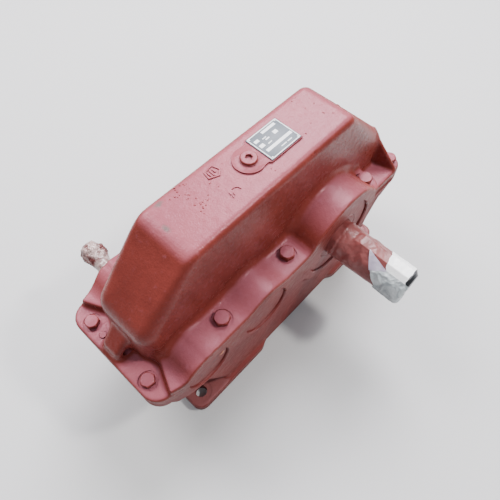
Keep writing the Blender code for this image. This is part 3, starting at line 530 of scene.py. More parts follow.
def bore_tools(half):
    """Bearing bores with the caps' grooves and a chamfer at each mouth."""
    tools = []
    for name, radius in BORE.items():
        low, high = GROOVE_Y
        side = [(radius, 0.05), (radius, low), (radius + GROOVE_DEPTH, low), (radius + GROOVE_DEPTH, high),
                (radius, high), (radius, CAP_FACE - 0.0004), (radius + 0.0016, SIDE_HALF + 0.0004),
                (radius + 0.0016, 0.1), (0, 0.1)]
        profile = [(r, -y) for r, y in reversed(side)] + side
        tools.append(turned(f"{half}_{name}_bore", profile, ROUND, CENTRE[name]))
    return tools


def both_sides(bolts):
    """Each bolt's title, number along the casing, side and place."""
    for number, (name, (x, y)) in enumerate(bolts.items()):
        for corner, side in SIDES.items():
            yield f"{name}_{corner}", number, side, (x, side * y)


def drill(name, radius, start, end, segments, x, y):
    """Tool for an upright hole between two heights."""
    return cylinder(name, radius, start, end, segments, (x, y, 0), UPRIGHT)


def drills(name, bolts, radius, start, end, segments):
    """Tools for upright holes at the bolts' places."""
    return [drill(f"{name}_{title}", radius, start, end, segments, *spot)
            for title, _, _, spot in both_sides(bolts)]


def bolt_holes(half):
    """Holes through the flange and the beams for the bolts."""
    return [tool for bolts, (radius, _) in ((SIDE_BOLTS, SIDE_HOLES), (END_BOLTS, END_HOLES))
            for tool in drills(half, bolts, radius, 0.12, 0.24, 16)]


def upper_casting():
    """Upper casting, machined: split face, bores, holes, spot faces and lifting eyes."""
    obj = casting("upper_casting", SPLIT_Z - 0.012, HOOD_TOP + 0.005, upper_field)
    tools = [box("split", (-0.2, -0.2, 0.05), (0.5, 0.2, SPLIT_Z + GAP / 2))]
    tools += bore_tools("upper") + bolt_holes("upper")
    for top, radius, bolts in ((SIDE_TOP, SIDE_HOLES[1], SIDE_BOLTS), (FLANGE_TOP, END_HOLES[1], END_BOLTS)):
        start = top - SEAT_DEPTH
        tools += drills("seat", bolts, radius, start, start + 0.03, 40)
    for name, (x, z) in EYES.items():
        tools.append(cylinder(f"eye_{name}", EYE_RADIUS, -0.03, 0.03, 32, (x, 0, z)))
    for name in ("taper_pin_left", "taper_pin_right"):
        low, high = local_box(name)
        x, y, _ = (low + high) / 2
        start = FLANGE_TOP - 0.0012
        tools.append(drill(name + "_seat", (high.x - low.x) / 2 + 0.0009, start, start + 0.03, 24, x, y))
    tools.append(drill("vent_hole", VENT_RADIUS, 0.29, 0.33, 32, VENT.x, VENT.y))
    # nicks in the top's front edge
    for x, width, tilt in ((0.2185, 0.0006, 0.5), (0.2225, 0.001, -0.3)):
        nick = box("nick", (x - width, -0.045, HOOD_TOP - 0.0032), (x + width, -0.037, HOOD_TOP + 0.003))
        nick.data.transform(Matrix.Rotation(tilt, 4, "Z") @ Matrix.Rotation(-0.5, 4, "X"))
        tools.append(nick)
    return soften(cut(obj, tools))


def lower_casting():
    """Lower casting, machined: split face, feet, bores and holes."""
    obj = casting("lower_casting", -0.005, SPLIT_Z + 0.012, lower_field)
    tools = [box("split", (-0.2, -0.2, SPLIT_Z - GAP / 2), (0.5, 0.2, 0.3)),
             box("ground", (-0.2, -0.2, -0.1), (0.5, 0.2, 0.0))]
    tools += bore_tools("lower") + bolt_holes("lower")
    for index, (x, y) in enumerate(ANCHORS):
        tools.append(drill(f"anchor_{index}", ANCHOR_HOLES[0], -0.01, 0.03, 40, x, y))
        tools.append(drill(f"anchor_seat_{index}", ANCHOR_HOLES[1], FOOT_THICK - 0.0008, 0.05, 40, x, y))
    for name, (_, radius, _) in PLUGS.items():
        tools.append(cylinder(name + "_hole", radius, 0.37, 0.41, 24, (0, 0, PLUG_Z[name]), ALONG_X))
    return soften(cut(obj, tools))


def finish_piece(obj, material, slot, *nodes, body="casing"):
    """Gives a piece its material and place, puts it on its body and hides the nodes it replaces; the slot is not
    used.
    """
    obj.location += ORIGIN
    obj.data.materials.clear()
    obj.data.materials.append(material)
    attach(obj, body)
    if nodes:
        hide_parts(*nodes)
    return obj


# ---- materials ----
def scaled(color, factor):
    """A colour made darker or paler."""
    return tuple(min(1, channel * factor) for channel in color)


class Look:
    """A material in the making. Values and colours between its nodes are their output sockets."""

    def __init__(self, name):
        self.material = bpy.data.materials.new(name)
        self.material.use_nodes = True
        self.tree = self.material.node_tree
        self.shader = self.tree.nodes["Principled BSDF"]

    def fill(self, node, sockets):
        """Sets or links a node's own sockets, given by name or number."""
        for name, value in sockets.items():
            if isinstance(value, bpy.types.NodeSocket):
                self.tree.links.new(value, node.inputs[name])
            elif value is not None:
                node.inputs[name].default_value = value

    def node(self, kind, sockets, output, **settings):
        """One output of a new node, whose sockets are filled."""
        made = self.tree.nodes.new("ShaderNode" + kind)
        for key, value in settings.items():
            setattr(made, key, value)
        self.fill(made, sockets)
        return made.outputs[output]

    def where(self):
        """Place on the object."""
        return self.node("TexCoord", {}, "Object")

    def shade(self, where, scale, detail=3, distortion=0.0):
        """Noise texture of one scale, as a value."""
        sockets = {"Vector": where, "Scale": scale, "Detail": detail, "Distortion": distortion}
        return self.node("TexNoise", sockets, "Fac")

    def remap(self, value, low, high, start, end):
        """A value moved from one range to another, kept inside it."""
        sockets = {"Value": value, "From Min": low, "From Max": high, "To Min": start, "To Max": end}
        return self.node("MapRange", sockets, "Result")

    def total(self, first, second):
        """Sum of two values."""
        return self.node("Math", {0: first, 1: second}, "Value", operation="ADD")

    def mix(self, share, first, second):
        """Two colours mixed by a share; each is a socket or a plain colour."""
        first, second = [(*color, 1) if isinstance(color, tuple) else color for color in (first, second)]
        return self.node("Mix", {0: share, 6: first, 7: second}, 2, data_type="RGBA")

    def bumps(self, height, distance, strength, before=None):
        """Bump from a height value, on top of another bump."""
        sockets = {"Height": height, "Distance": distance, "Strength": strength, "Normal": before}
        return self.node("Bump", sockets, "Normal")

    def done(self, color, roughness, relief, **values):
        """Fills the shader and gives the material."""
        self.fill(self.shader, {"Base Color": color, "Roughness": roughness, "Normal": relief})
        self.fill(self.shader, {name.replace("_", " "): value for name, value in values.items()})
        return self.material


def cast_paint(name, base, dust_and_sheen, rough=0.24, gloss=0.15, spots=()):
    """Brushed-on red oxide paint over sand-cast iron, with scuffed spots (place, size, colour)."""
    look = Look(name)
    where = look.where()
    broad, fine, grain = [look.shade(where, *values) for values in ((16, 3), (120, 4), (520, 2))]
    color = look.mix(look.remap(broad, 0.35, 0.65, 0, 1), scaled(base, 0.84), scaled(base, 1.16))
    color = look.mix(look.remap(fine, 0.62, 0.8, 0, 0.35), color, dust_and_sheen)
    # upward faces are painted paler: settled dust, and a painted sheen of the light from above
    upward = look.node("SeparateXYZ", {0: look.node("NewGeometry", {}, "Normal")}, "Z")
    color = look.mix(look.remap(upward, 0.72, 1.0, 0, 0.55), color, dust_and_sheen)
    for centre, size, tint in spots:
        local = look.node("Mapping", {"Vector": where, "Location": centre, "Scale": size}, "Vector",
                          vector_type="TEXTURE")
        away = look.node("VectorMath", {0: local}, "Value", operation="LENGTH")
        ragged = look.total(away, look.shade(where, 330))
        color = look.mix(look.remap(ragged, 0.7, 1.5, 0.8, 0), color, tint)
    # the rough coat loses its gloss at its outline
    matte = look.total(look.remap(fine, 0.25, 0.75, rough - 0.06, rough + 0.1),
                       look.remap(look.node("LayerWeight", {}, "Facing"), 0.7, 0.97, 0, 0.5))
    relief = look.bumps(fine, 0.0011, 0.5, look.bumps(grain, 0.0006, 0.38))
    return look.done(color, matte, look.bumps(broad, 0.003, 0.35, relief),
                     Specular_IOR_Level=gloss, Specular_Tint=(1.0, 0.58, 0.68, 1))


def metal(name, color, rough, stretch=(40, 900, 40), metallic=1.0):
    """Machined metal or moulded rubber, with fine marks drawn out by a stretch along each axis."""
    look = Look(name)
    drawn = look.node("Mapping", {"Vector": look.where(), "Scale": stretch}, "Vector")
    marks = look.shade(drawn, 1, 4)
    return look.done(look.mix(marks, scaled(color, 0.72), scaled(color, 1.25)),
                     look.remap(marks, 0.25, 0.75, rough - 0.07, rough + 0.1),
                     look.bumps(marks, 0.0002, 0.2), Metallic=metallic)


def plastic_film(name, color, second, alpha, rough=0.2, patches=60):
    """Thin crumpled wrapping film; the second colour lies in patches."""
    look = Look(name)
    where = look.where()
    patch = look.shade(where, patches, 5, 0.8)
    creases = look.node("TexVoronoi", {"Vector": where, "Scale": 150}, "Distance", feature="DISTANCE_TO_EDGE")
    return look.done(look.mix(look.remap(patch, 0.4, 0.62, 0, 1), color, second),
                     look.remap(patch, 0.3, 0.7, rough, rough + 0.18),
                     look.bumps(patch, 0.002, 0.3, look.bumps(creases, 0.0007, 0.45)), Alpha=alpha)


RED = (0.155, 0.028, 0.022)
# the lower casting's red is a little darker: painted shade below the beams
LOW_RED = (0.145, 0.026, 0.021)
CAP_RED = (0.16, 0.03, 0.024)
# pale dust, also a painted sheen of the light from above on upward faces
DUST_AND_SHEEN = (0.34, 0.11, 0.15)
# the lower casting's dust and sheen are less pale: painted shade
LOW_DUST_AND_SHEEN = (0.24, 0.09, 0.09)
SCUFF = (0.1, 0.095, 0.085)  # bare, dirty iron on the hood's top
BARE = (0.045, 0.012, 0.01)  # old dark coat where the cap's paint is torn
TOP_SCUFFS = [((x, y, HOOD_TOP), (*size, 0.01), SCUFF)
              for x, y, size in ((0.057, 0.031, (0.007, 0.0042)), (0.043, 0.004, (0.0042, 0.0075)))]
CAP_TEARS = [((x, -CAP_FACE, z), (wide, 0.01, high), BARE) for x, z, wide, high in (
    (0.016, 0.006, 0.0045, 0.004), (0.01, 0.000, 0.0055, 0.0035),
    (0.003, -0.006, 0.004, 0.0028), (-0.012, -0.006, 0.0015, 0.006))]
PAINT = cast_paint("red_oxide_paint", RED, DUST_AND_SHEEN, spots=TOP_SCUFFS)
# darker copy of the paint for the lower casting: painted shade below the beams
LOW_PAINT = cast_paint("red_oxide_paint_low", LOW_RED, LOW_DUST_AND_SHEEN, 0.4, 0.38)
CAP_PAINT = cast_paint("red_oxide_paint_caps", CAP_RED, DUST_AND_SHEEN, 0.36, 0.45)
TORN_PAINT = cast_paint("red_oxide_paint_torn", CAP_RED, DUST_AND_SHEEN, 0.36, 0.45, CAP_TEARS)
METALS = {name: metal(name, *values) for name, *values in (
    ("torn_paint_edge", (0.46, 0.17, 0.11), 0.38, (300, 300, 300), 0.2),
    ("gear_steel", (0.36, 0.35, 0.34), 0.32), ("bare_steel", (0.45, 0.44, 0.43), 0.35),
    ("ground_steel", (0.55, 0.54, 0.53), 0.16), ("key_steel", (0.07, 0.07, 0.075), 0.45),
    ("oiled_steel", (0.055, 0.057, 0.062), 0.38), ("cage_bronze", (0.5, 0.36, 0.17), 0.38),
    ("seal_rubber", (0.025, 0.025, 0.025), 0.6, (40, 900, 40), 0.0),
    ("plate_metal", (0.075, 0.09, 0.11), 0.45, (60, 60, 60), 0.0),
    ("plate_print", (0.7, 0.71, 0.72), 0.45, (60, 60, 60), 0.0))}
FILM_WHITE = plastic_film("white_film", (0.9, 0.9, 0.89), (0.8, 0.81, 0.81), 1.0)
FILM_GREY = plastic_film("grey_film", (0.5, 0.54, 0.55), (0.27, 0.3, 0.31), 1.0, patches=50)
FILM_RED = plastic_film("painted_film", (0.25, 0.066, 0.062), (0.15, 0.031, 0.028), 1.0, 0.3, 20)
FILM_LILAC = plastic_film("lilac_film", (0.6, 0.55, 0.66), (0.48, 0.42, 0.54), 0.9)
# the silvery film's pink ground is a painted reflection of the red casing, and its dark red patches are painted
# shade
FILM_SILVER = plastic_film("silver_film", (0.38, 0.28, 0.26), (0.1, 0.02, 0.018), 1.0, 0.16, 80)


# ---- fasteners and fittings ----
def hexagon(across, turn=0.0):
    """Corners of a hexagon from its width across flats."""
    radius = across / sqrt(3)
    return [(radius * cos(turn + step * pi / 3), radius * sin(turn + step * pi / 3))
            for step in range(6)]


def hex_head(name, across, height, radius, length, turn):
    """Hexagon head with a chamfered top and rounded, painted edges, and its shank below."""
    head = prism(name, [hexagon(across, turn)], 0, height)
    corner = across / sqrt(3)
    dome = [(0, -0.001), (corner + 0.001, -0.001), (corner + 0.001, height - 0.0022),
            (across / 2 - 0.0006, height), (0, height)]
    cut(head, [turned("dome", dome, 48, turn=UPRIGHT)], "INTERSECT", "EXACT")
    bevel(head, 0.0005)
    shank = [(0, -length), (radius - 0.001, -length), (radius, -length + 0.001), (radius, 0.001), (0, 0.001)]
    cut(head, [turned("shank", shank, 24, turn=UPRIGHT)], "UNION", "EXACT")
    return soften(head, 30)


def bolts():
    """Bolts beside the bearings and in the flange, and the nuts below it."""
    for title, number, side, spot in both_sides(SIDE_BOLTS):
        bolt = hex_head(f"bearing_bolt_{title}_visual", *SIDE_HEAD, 0.35 + number * 0.4)
        bolt.location = (*spot, SIDE_TOP + GAP)
        finish_piece(bolt, PAINT, "bolt_paint", f"bearing_bolt_{title}")
    for title, number, side, spot in both_sides(END_BOLTS):
        bolt = hex_head(f"flange_bolt_{title}_visual", *END_HEAD, 0.2 + side * 0.3)
        bolt.location = (*spot, FLANGE_TOP + GAP)
        finish_piece(bolt, PAINT, "bolt_paint", f"flange_bolt_{title}")
        nut = prism(f"flange_nut_{title}_visual", [hexagon(END_HEAD[0]), hexagon(0.0096)], 0, NUT_HEIGHT)
        bevel(nut, 0.0005)
        soften(nut, 30).location = (*spot, SPLIT_Z - FLANGE_THICK - GAP - NUT_HEIGHT)
        finish_piece(nut, PAINT, "bolt_paint", f"flange_nut_{title}")


def caps():
    """Embedded caps, turned; the two that the shafts pass hold a seal, painted over with them."""
    # radius of the seal's seat on the shaft and of its pocket in the cap
    open_caps = {("input", "back"): (0.012, 0.02), ("output", "front"): (OUTPUT_SEAT, 0.036)}
    for name, bore in BORE.items():
        for corner, side in SIDES.items():
            node = f"{name}_cap_{corner}"
            low = min(abs(value.y) for value in local_box(node))
            rim, lip = bore - GAP, bore + GROOVE_DEPTH - GAP
            near, far = GROOVE_Y[0] + GAP, GROOVE_Y[1] - GAP
            face = CAP_FACE - CAP_RECESS
            line = [(rim, low), (rim, near), (lip, near), (lip, far), (rim, far), (rim, face - 0.001),
                    (rim - 0.001, face)]
            if (name, corner) in open_caps:
                seat, pocket = open_caps[(name, corner)]
                ledge = CAP_FACE - 0.0115
                line += [(pocket + 0.0008, face), (pocket, face - 0.0008), (pocket, ledge),
                         (seat + 0.0015, ledge), (seat + 0.0015, low)]
                outer = pocket - GAP
                seal = [(outer, ledge + GAP), (outer, face - 0.0008), (outer - 0.0009, face - 0.0002),
                        (seat + 0.0012, face - 0.0002), (seat + 0.0006, face - 0.0008),
                        (seat + 0.0006, ledge + GAP)]
                rings = [(f"{name}_oil_seal", seal), (node, line)]
            else:
                rings = [(node, [(0, low)] + line + [(0, face)])]
            for title, profile in rings:
                profile = [(radius, side * y) for radius, y in profile]
                ring = turned(title + "_visual", profile, ROUND, CENTRE[name], closed=len(rings) == 2)
                torn = title == "input_cap_front"
                finish_piece(soften(ring, 30), TORN_PAINT if torn else CAP_PAINT, "cap_paint", title)


def top_pad():
    """Low pad below the rating plate, with a round end about the breather."""
    margin, lobe_radius = 0.001, 0.019
    start, sweep, steps = radians(72), radians(216), 28
    turns = [start + sweep * step / steps for step in range(steps + 1)]
    lobe = [(VENT.x + lobe_radius * cos(turn), VENT.y + lobe_radius * sin(turn)) for turn in turns]
    left, right = PLATE_LOW.x - 0.0034, PLATE_HIGH.x + margin
    front, back = PLATE_LOW.y - margin, PLATE_HIGH.y + margin
    outline = lobe + [
        (left - 0.002, lobe[-1][1]), (left, front + 0.003), (left + 0.003, front), (right, front),
        (right, back), (left + 0.003, back), (left, back - 0.003), (left - 0.002, lobe[0][1])]
    pad = prism("plate_pad", [outline], HOOD_TOP - 0.0015, PAD_TOP)
    hole = drill("hole", VENT_RADIUS, 0.3, 0.33, 32, VENT.x, VENT.y)
    cut(pad, [hole], solver="EXACT")
    bevel(pad, 0.0006)
    finish_piece(soften(pad), PAINT, "casing_paint")


def breather():
    """Socket-headed breather plug with a washer face."""
    top, seat, low = VENT_HIGH.z, PAD_TOP + GAP, VENT_LOW.z
    profile = [(0, top), (0.0088, top), (0.0098, top - 0.0008), (0.0098, seat + 0.0006),
               (0.0105, seat + 0.0004), (0.0105, seat), (0.0078, seat), (0.0078, low), (0, low)]
    plug = turned("breather_plug_visual", profile, 64, turn=UPRIGHT)
    socket = prism("socket", [hexagon(0.008, 0.4)], top - 0.0032, top + 0.01)
    cut(plug, [socket], solver="EXACT")
    bevel(plug, 0.0003)
    soften(plug, 30).location = (VENT.x, VENT.y, 0)
    finish_piece(plug, PAINT, "bolt_paint", "breather_plug")


def nameplate():
    """Blank rating plate: rim, empty fields, lines and four rivets."""
    low, high = PLATE_LOW, PLATE_HIGH
    plate = box("nameplate_visual", low, high)
    bevel(plate, 0.0003)
    finish_piece(soften(plate), METALS["plate_metal"], "nameplate_metal", "nameplate")
    width, depth = high.x - low.x, high.y - low.y
    top = high.z
    # fields as shares of the plate: left, right, front, back
    fields = [(0.03, 0.97, 0.02, 0.045), (0.03, 0.97, 0.955, 0.98),
              (0.02, 0.04, 0.02, 0.98), (0.96, 0.98, 0.02, 0.98),
              (0.12, 0.93, 0.27, 0.37), (0.09, 0.22, 0.48, 0.6), (0.09, 0.22, 0.7, 0.8),
              (0.42, 0.86, 0.82, 0.91), (0.62, 0.74, 0.58, 0.7), (0.34, 0.46, 0.6, 0.64),
              (0.3, 0.42, 0.68, 0.71), (0.45, 0.62, 0.14, 0.17),
              (0.66, 0.8, 0.14, 0.17), (0.3, 0.42, 0.46, 0.49)]
    pieces = [box("field", (low.x + left * width, low.y + front * depth, top - 0.0002),
                  (low.x + right * width, low.y + back * depth, top + 0.0001))
              for left, right, front, back in fields]
    for u, v in itertools.product((0.07, 0.93), repeat=2):
        rivet = [(0, -0.0003), (0.0011, -0.0003), (0.0011, 0), (0.0008, 0.0004), (0, 0.0005)]
        spot = (low.x + u * width, low.y + v * depth, top)
        pieces.append(turned("rivet", rivet, 16, spot, UPRIGHT))
    finish_piece(joined("nameplate_fields", pieces), METALS["plate_print"], "nameplate_metal")


def output_shaft():
    """Low-speed shaft, finely turned, with its two keyways and a centre hole in its end."""
    end = local_box("output_shaft")[0].y
    shoulder = local_box("output_gear")[0].y - GAP
    # radius, start and stop of each step along the shaft
    steps = [(OUTPUT_RADIUS, end, -0.092), (OUTPUT_SEAT, -0.092, -0.0716), (0.0275, -0.0716, -0.0397),
             (0.033, -0.0397, -0.017), (0.038, -0.017, shoulder), (0.031, shoulder, 0.0392),
             (0.0275, 0.0392, 0.0712)]
    line = [(0, end + 0.006), (0.0025, end + 0.0035), (0.004, end)]
    for radius, start, stop in steps:
        edge = 0.005 if start == end else 0.0008
        line += [(radius - edge, start), (radius, start + edge), (radius, stop)]
    line += [(0, steps[-1][2])]
    shaft = turned("output_shaft_visual", line, ROUND)
    tools = []
    for node in ("output_key", "output_gear_key"):
        low, high = [corner - CENTRE["output"] for corner in local_box(node)]
        tools.append(box("slot", (low.x - GAP, low.y - GAP, low.z - GAP), (high.x + GAP, high.y + GAP, 0.05)))
    cut(shaft, tools, solver="EXACT")
    soften(shaft, 30).location = CENTRE["output"]
    finish_piece(shaft, METALS["oiled_steel"], "bare_steel", "output_shaft", body="output_shaft")


# ---- wrapping film ----
def ridges(place, size, seed):
    """Creases of crumpled film at a place: near 1 on a crease, lower between creases."""
    value = noise.noise(Vector(place) / size + Vector((seed * 7.3, seed * 3.1, seed * 5.7)))
    return 1 - 2.4 * abs(value)


def crumple(place, size, seed):
    """Folds of three sizes on top of each other."""
    return (ridges(place, size, seed) + 0.55 * ridges(place, size * 0.47, seed + 1)
            + 0.3 * ridges(place, size * 0.22, seed + 2))


def between(points, value):
    """Value read between (place, value) points."""
    places, values = zip(*points)
    return float(np.interp(value, places, values))


def over_key(angle, share):
    """Radius of film pulled tight over the shaft and its key, at an angle from the key's middle."""
    radius, top, half = OUTPUT_RADIUS, KEY_TOP, KEY_HALF
    corner = atan2(half, top)
    leave = corner + acos(radius / hypot(top, half))
    away = abs((angle + pi) % tau - pi)
    if away < corner:
        tight = top / cos(away)
    elif away < leave:
        tight = radius / cos(leave - away)
    else:
        tight = radius
    return radius + (tight - radius) * share


def net(name, lines, columns, point, wrap=False):
    """Sheet through the points at each share along and across it; wrap closes it on itself."""
    across = columns if wrap else columns + 1
    points = [point(line / lines, column / columns) for line in range(lines + 1) for column in range(across)]
    quads = []
    for line in range(lines):
        for column in range(columns):
            after = (column + 1) % across
            quads.append((line * across + column, (line + 1) * across + column,
                          (line + 1) * across + after, line * across + after))
    return add(name, mesh_of(name, np.array(points), np.array(quads)))


def wound_film(name, angles, start, end, lift, depth, size, seed, fold=0.0):
    """Film wound on the output shaft between two edges, each y over the angle in degrees.

    Its crumples fade where it enters the seal, and again where more film lies over it.
    """
    first, last = angles
    wrap = last - first >= 360
    # share of the crumples, and lift onto the shaft's seat below the seal, over y
    looseness = ((-0.16, 0.25 if fold == 0 else 1), (-0.135, 1), (-0.093, 1), (-0.086, 0.0))
    seal_seat = ((-0.096, 0), (-0.0925, OUTPUT_SEAT - OUTPUT_RADIUS))

    def point(share, around):
        degrees = first + (last - first) * around
        angle = radians(degrees)
        spot = Vector((sin(angle), 0, cos(angle))) * OUTPUT_RADIUS
        ragged = 0.0011 * noise.noise(spot * 190 + Vector((seed, 0, 0)))
        y0, y1 = between(start, degrees) + ragged, between(end, degrees) - ragged
        along = share * (y0 - y1 + fold)
        y = max(y0 - along, y1)
        spot.y = y0 - along
        keyed = min(1, max(0, (KEY_HIGH.y + 0.012 - y) / 0.01))
        folds = max(0, crumple(spot, size, seed) + 0.55)
        radius = over_key(angle, keyed) + between(seal_seat, y) + lift
        radius += depth * between(looseness, y) * folds
        past = along - (y0 - y1)
        if past > 0:
            turn = min(past / FOLD, pi / 2)
            radius -= FOLD * (1 - cos(turn)) + max(0, past - FOLD * pi / 2)
            y -= FOLD * sin(turn) + depth * 0.4 * crumple(spot, size, seed + 4)
        return radius * sin(angle), y, radius * cos(angle)

    sheet = net(name, 78, int((last - first) * 0.62), point, wrap)
    sheet.location = CENTRE["output"]
    return soften(sheet, 50)


def declare_film(sheet, material, body, slot, flat, *nodes, **more):
    """Finishes a film like any other piece; its size before it was wound on, and any more values, are not used."""
    finish_piece(sheet, material, slot, *nodes, body=body)


def output_film():
    """Film on the output shaft: painted sleeve, white wrap over the key, grey end, lilac scrap."""
    near, far = CAP_RECESS - CAP_FACE + 0.0012, FILM_END
    sleeve = wound_film("painted_sleeve", (-180, 180), [(-180, near), (180, near)],
                        [(-180, -0.167), (180, -0.167)], 0.0003, 0.0009, 0.026, 3)
    declare_film(sleeve, FILM_RED, "output_shaft", "wrap_film_painted", (0.175, 0.085), "output_shaft_wrap")
    white = wound_film("white_wrap", (-40, 190),
                       [(-40, -0.172), (-24, -0.164), (37, -0.157), (90, -0.154), (190, -0.16)],
                       [(-40, far - 0.004), (-26, far + 0.0005), (190, far + 0.0005)],
                       0.0013, 0.0006, 0.02, 11)
    declare_film(white, FILM_WHITE, "output_shaft", "wrap_film", (0.12, 0.045))
    grey = wound_film("grey_wrap", (-175, -30), [(-175, -0.16), (-92, -0.165), (-56, -0.15), (-30, -0.168)],
                      [(-175, -0.1925), (-30, -0.1925)], 0.001, 0.0013, 0.019, 23, fold=0.02)
    declare_film(grey, FILM_GREY, "output_shaft", "wrap_film", (0.082, 0.056))
    corners = [(-11, -0.134), (-57, -0.149), (-31, -0.169)]  # angle in degrees and y

    def point(share, across):
        first = (1 + 23 * share) / 24  # the first corner itself is torn off
        second = first * across
        weights = (1 - first, first - second, second)
        degrees, y = (sum(weight * value for weight, value in zip(weights, values))
                      for values in zip(*corners))
        angle = radians(degrees)
        spot = Vector((sin(angle) * OUTPUT_RADIUS, y, cos(angle) * OUTPUT_RADIUS))
        radius = over_key(angle, 1) + 0.0021 + 0.0004 * crumple(spot, 0.018, 31)
        return radius * sin(angle), y, radius * cos(angle)

    scrap = soften(net("lilac_scrap", 23, 24, point))
    scrap.location = CENTRE["output"]
    declare_film(scrap, FILM_LILAC, "output_shaft", "wrap_film", (0.022, 0.036), area=0.0004)


def input_film():
    """Crumpled silvery film gathered into a ball round the input shaft's end."""
    profile = [(0.0908, 0.0103), (0.11, 0.0106), (0.12, 0.0108), (0.126, 0.0122), (0.132, 0.013),
               (0.139, 0.0129), (0.145, 0.0114), (0.1492, 0.0078), (0.1505, 0.0012)]
    reach = [0.0]
    for (y0, r0), (y1, r1) in zip(profile, profile[1:]):
        reach.append(reach[-1] + hypot(y1 - y0, r1 - r0))
    ys, radii = [list(zip(reach, values)) for values in zip(*profile)]

    def point(share, across):
        along = reach[-1] * share
        y, radius = between(ys, along), between(radii, along)
        bulb = min(1, max(0, (y - 0.112) / 0.014))
        angle = tau * across
        spot = Vector((sin(angle) * 0.014, y, cos(angle) * 0.014))
        depth = (0.0005 + 0.0017 * bulb) * min(1, radius / 0.008)
        swell = radius + depth * (crumple(spot, 0.012, 41) + 0.1)
        return swell * sin(angle) + 0.0022 * bulb, y, swell * cos(angle) + 0.0008 * bulb

    sheet = net("silver_wrap", 90, 120, point, True)
    sheet.data.flip_normals()
    soften(sheet, 50).location = CENTRE["input"]
    declare_film(sheet, FILM_SILVER, "input_shaft", "wrap_film", (0.078, 0.068), "input_shaft_wrap")


# ---- marks on the casting ----
def foundry_marks():
    """Plain raised marks on the hood's top, worn and painted over: a frame with bars, and an arc."""
    low, high = HOOD_TOP - 0.0008, HOOD_TOP + 0.0012
    frame_outline = [(0.114, 0.0168), (0.1262, 0.0118), (0.1335, 0.0182), (0.13, 0.029), (0.116, 0.0272)]
    centre = Vector((0.124, 0.0208))
    inner = [tuple(centre + (Vector(point) - centre) * 0.76) for point in frame_outline]
    pieces = [prism("mark_frame", [frame_outline, inner], low, high)]
    bars = ((0.119, 0.0215, 0.0009, 0.0032), (0.1225, 0.0205, 0.0008, 0.0045),
            (0.1262, 0.0215, 0.001, 0.003))
    for x, y, width, length in bars:
        pieces.append(box("mark_bar", (x - width, y - length, low), (x + width, y + length, high - 0.0001)))
    turns = (1.9, 1.2, 0.5, -0.2)
    arc = [(0.1235 + radius * cos(turn), -0.015 + radius * sin(turn))
           for radius, order in ((0.0062, turns), (0.0053, turns[::-1])) for turn in order]
    pieces.append(prism("mark_arc", [arc], low, high - 0.0002))
    for x, y, size in ((0.1165, -0.0125, 0.0011), (0.1192, -0.0152, 0.0009), (0.116, -0.017, 0.0008)):
        wedge = [(x - size, y - 2 * size), (x + size, y - size), (x, y + 2 * size)]
        pieces.append(prism("mark_wedge", [wedge], low, high))
    for piece in pieces:
        bevel(piece, 0.0003)
    finish_piece(soften(joined("foundry_marks", pieces)), PAINT, "casing_paint")


def paint_runs():
    """Sand grains and beads of paint under the top's coat."""
    pieces = []
    dice = np.random.default_rng(5)
    groups = (((0.0887, 0.024), 0.007, 22), ((0.089, 0.001), 0.006, 18),
              ((0.17, 0.0), 0.06, 18), ((0.265, 0.004), 0.025, 8))
    for centre, spread, count in groups:
        for _ in range(count):
            x, y = centre[0] + dice.normal(0, spread), centre[1] + dice.normal(0, min(spread, 0.014))
            size = dice.uniform(0.0006, 0.0013)
            on_pad = PLATE_LOW.x - 0.036 < x < PLATE_HIGH.x + 0.003 and y > PLATE_LOW.y - 0.003
            if on_pad or abs(y) > 0.036:
                continue
            bead = [(0, -0.0004), (size, -0.0004), (size * 0.8, size * 0.25), (0, size * 0.45)]
            pieces.append(turned("bead", bead, 10, (x, y, HOOD_TOP), UPRIGHT))
    finish_piece(soften(joined("paint_beads", pieces), 80), PAINT, "casing_paint")


def torn_cap_paint():
    """Curled flake of paint on the input cap, where it was knocked."""
    def point(share, across):
        u, v = share - 0.5, across - 0.5
        bend = 0.0011 * (1 - 4 * u * u) * (1 - 3 * v * v) + 0.0005 * noise.noise(Vector((u * 5, v * 5, 3)))
        return (0.0225 + 0.006 * u - 0.002 * v, CAP_RECESS - CAP_FACE - 0.0003 - bend,
                0.002 + 0.0035 * v + 0.003 * u)

    piece = net("paint_flake", 8, 8, point)
    thick = piece.modifiers.new("thick", "SOLIDIFY")
    thick.thickness = 0.0004
    soften(bake(piece), 60).location = CENTRE["input"]
    finish_piece(piece, METALS["torn_paint_edge"], "cap_paint")


def plugs():
    """Drain and level plugs: hexagon heads with round shanks, lying along X."""
    for node, (_, _, across) in PLUGS.items():
        low, high = local_box(node)
        head = high.x - PLUG_WALL_X - GAP
        plug = hex_head(node + "_visual", across, head, across * 0.36, PLUG_WALL_X + GAP - low.x, 0.3)
        plug.data.transform(Matrix.Rotation(pi / 2, 4, "Y"))
        plug.location = (PLUG_WALL_X + GAP, 0, PLUG_Z[node])
        finish_piece(plug, PAINT, "bolt_paint", node)


def joined(name, pieces):
    """One object from several, each where it stands."""
    bm = bmesh.new()
    for piece in pieces:
        mesh = piece.data.copy()
        mesh.transform(Matrix.Translation(piece.location))
        bm.from_mesh(mesh)
        bpy.data.meshes.remove(mesh)
    drop(*pieces)
    return add(name, mesh_from(bm, name))


# ---- stage ----
def area_light(name, direction, distance, size, power, color):
    """Soft light in a direction and at a distance from the casing's middle, looking at it."""
    data = bpy.data.lights.new(name, "AREA")
    data.shape = "DISK"
    data.size = size
    data.energy = power
    data.color = color
    lamp = add(name, data)
    toward = Vector(direction).normalized()
    casing_middle = Vector((0, 0, 0.15))
    lamp.location = toward * distance + casing_middle
    lamp.rotation_euler = toward.to_track_quat("Z", "Y").to_euler()


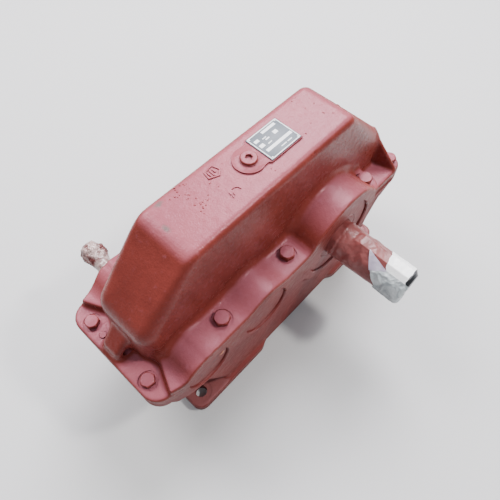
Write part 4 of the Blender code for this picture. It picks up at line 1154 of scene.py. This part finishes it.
def stage():
    """Pale floor, soft light and the camera."""
    bm = bmesh.new()
    bmesh.ops.create_grid(bm, x_segments=1, y_segments=1, size=6)
    floor = add("floor", mesh_from(bm, "floor"))
    floor.data.materials.append(Look("floor").done((0.52, 0.52, 0.52, 1), 0.9, None))
    world = bpy.data.worlds.new("studio")
    bpy.context.scene.world = world
    world.use_nodes = True
    tree = world.node_tree
    height = tree.nodes.new("ShaderNodeSeparateXYZ")
    tree.links.new(tree.nodes.new("ShaderNodeTexCoord").outputs["Generated"], height.inputs[0])
    glow = tree.nodes.new("ShaderNodeValToRGB")
    glow.color_ramp.elements[0].color = (0.18, 0.18, 0.19, 1)
    glow.color_ramp.elements[1].color = (0.9, 0.94, 1.0, 1)
    tree.links.new(height.outputs["Z"], glow.inputs["Fac"])
    tree.links.new(glow.outputs["Color"], tree.nodes["Background"].inputs["Color"])
    tree.nodes["Background"].inputs["Strength"].default_value = 1.0
    area_light("sky_glow", (0.53, 0.3, 0.79), 2.6, 1.5, 165, (0.97, 0.95, 1.0))
    area_light("back_fill", (-0.1, 0.65, 0.75), 2.4, 1.0, 70, (1.0, 0.97, 0.98))
    area_light("window", (0.37, -0.45, 0.8), 2.2, 0.22, 38, (1.0, 0.98, 0.95))
    camera = add("camera", bpy.data.cameras.new("camera"))
    camera.data.sensor_width = 36
    camera.data.lens = 33.25
    camera.data.clip_start = 0.01
    camera.location = ORIGIN + Vector((-0.0832, -0.2191, 0.7015))
    camera.rotation_euler = [radians(angle) for angle in (29.93, -0.81, -46.98)]
    bpy.context.scene.camera = camera


def cad_materials():
    """Materials of the CAD nodes that stay."""
    by_slot = {**METALS, "bearing_steel": METALS["ground_steel"], "roller_bronze": METALS["cage_bronze"],
               "nameplate_metal": METALS["plate_metal"], "casing_paint": PAINT, "cap_paint": CAP_PAINT,
               "bolt_paint": PAINT, "wrap_film": FILM_WHITE, "wrap_film_painted": FILM_RED}
    for part in frame["record"]["subparts"]:
        obj = frame["nodes"][part["node"]]
        obj.data.materials.clear()
        painted = part["node"].startswith("taper_pin")
        obj.data.materials.append(PAINT if painted else by_slot[part["material_slot"]])


cad_materials()
stage()
finish_piece(upper_casting(), PAINT, "casing_paint", "upper_housing")
finish_piece(lower_casting(), LOW_PAINT, "casing_paint", "lower_housing")
bolts()
plugs()
caps()
torn_cap_paint()
top_pad()
foundry_marks()
paint_runs()
breather()
nameplate()
output_shaft()
output_film()
input_film()
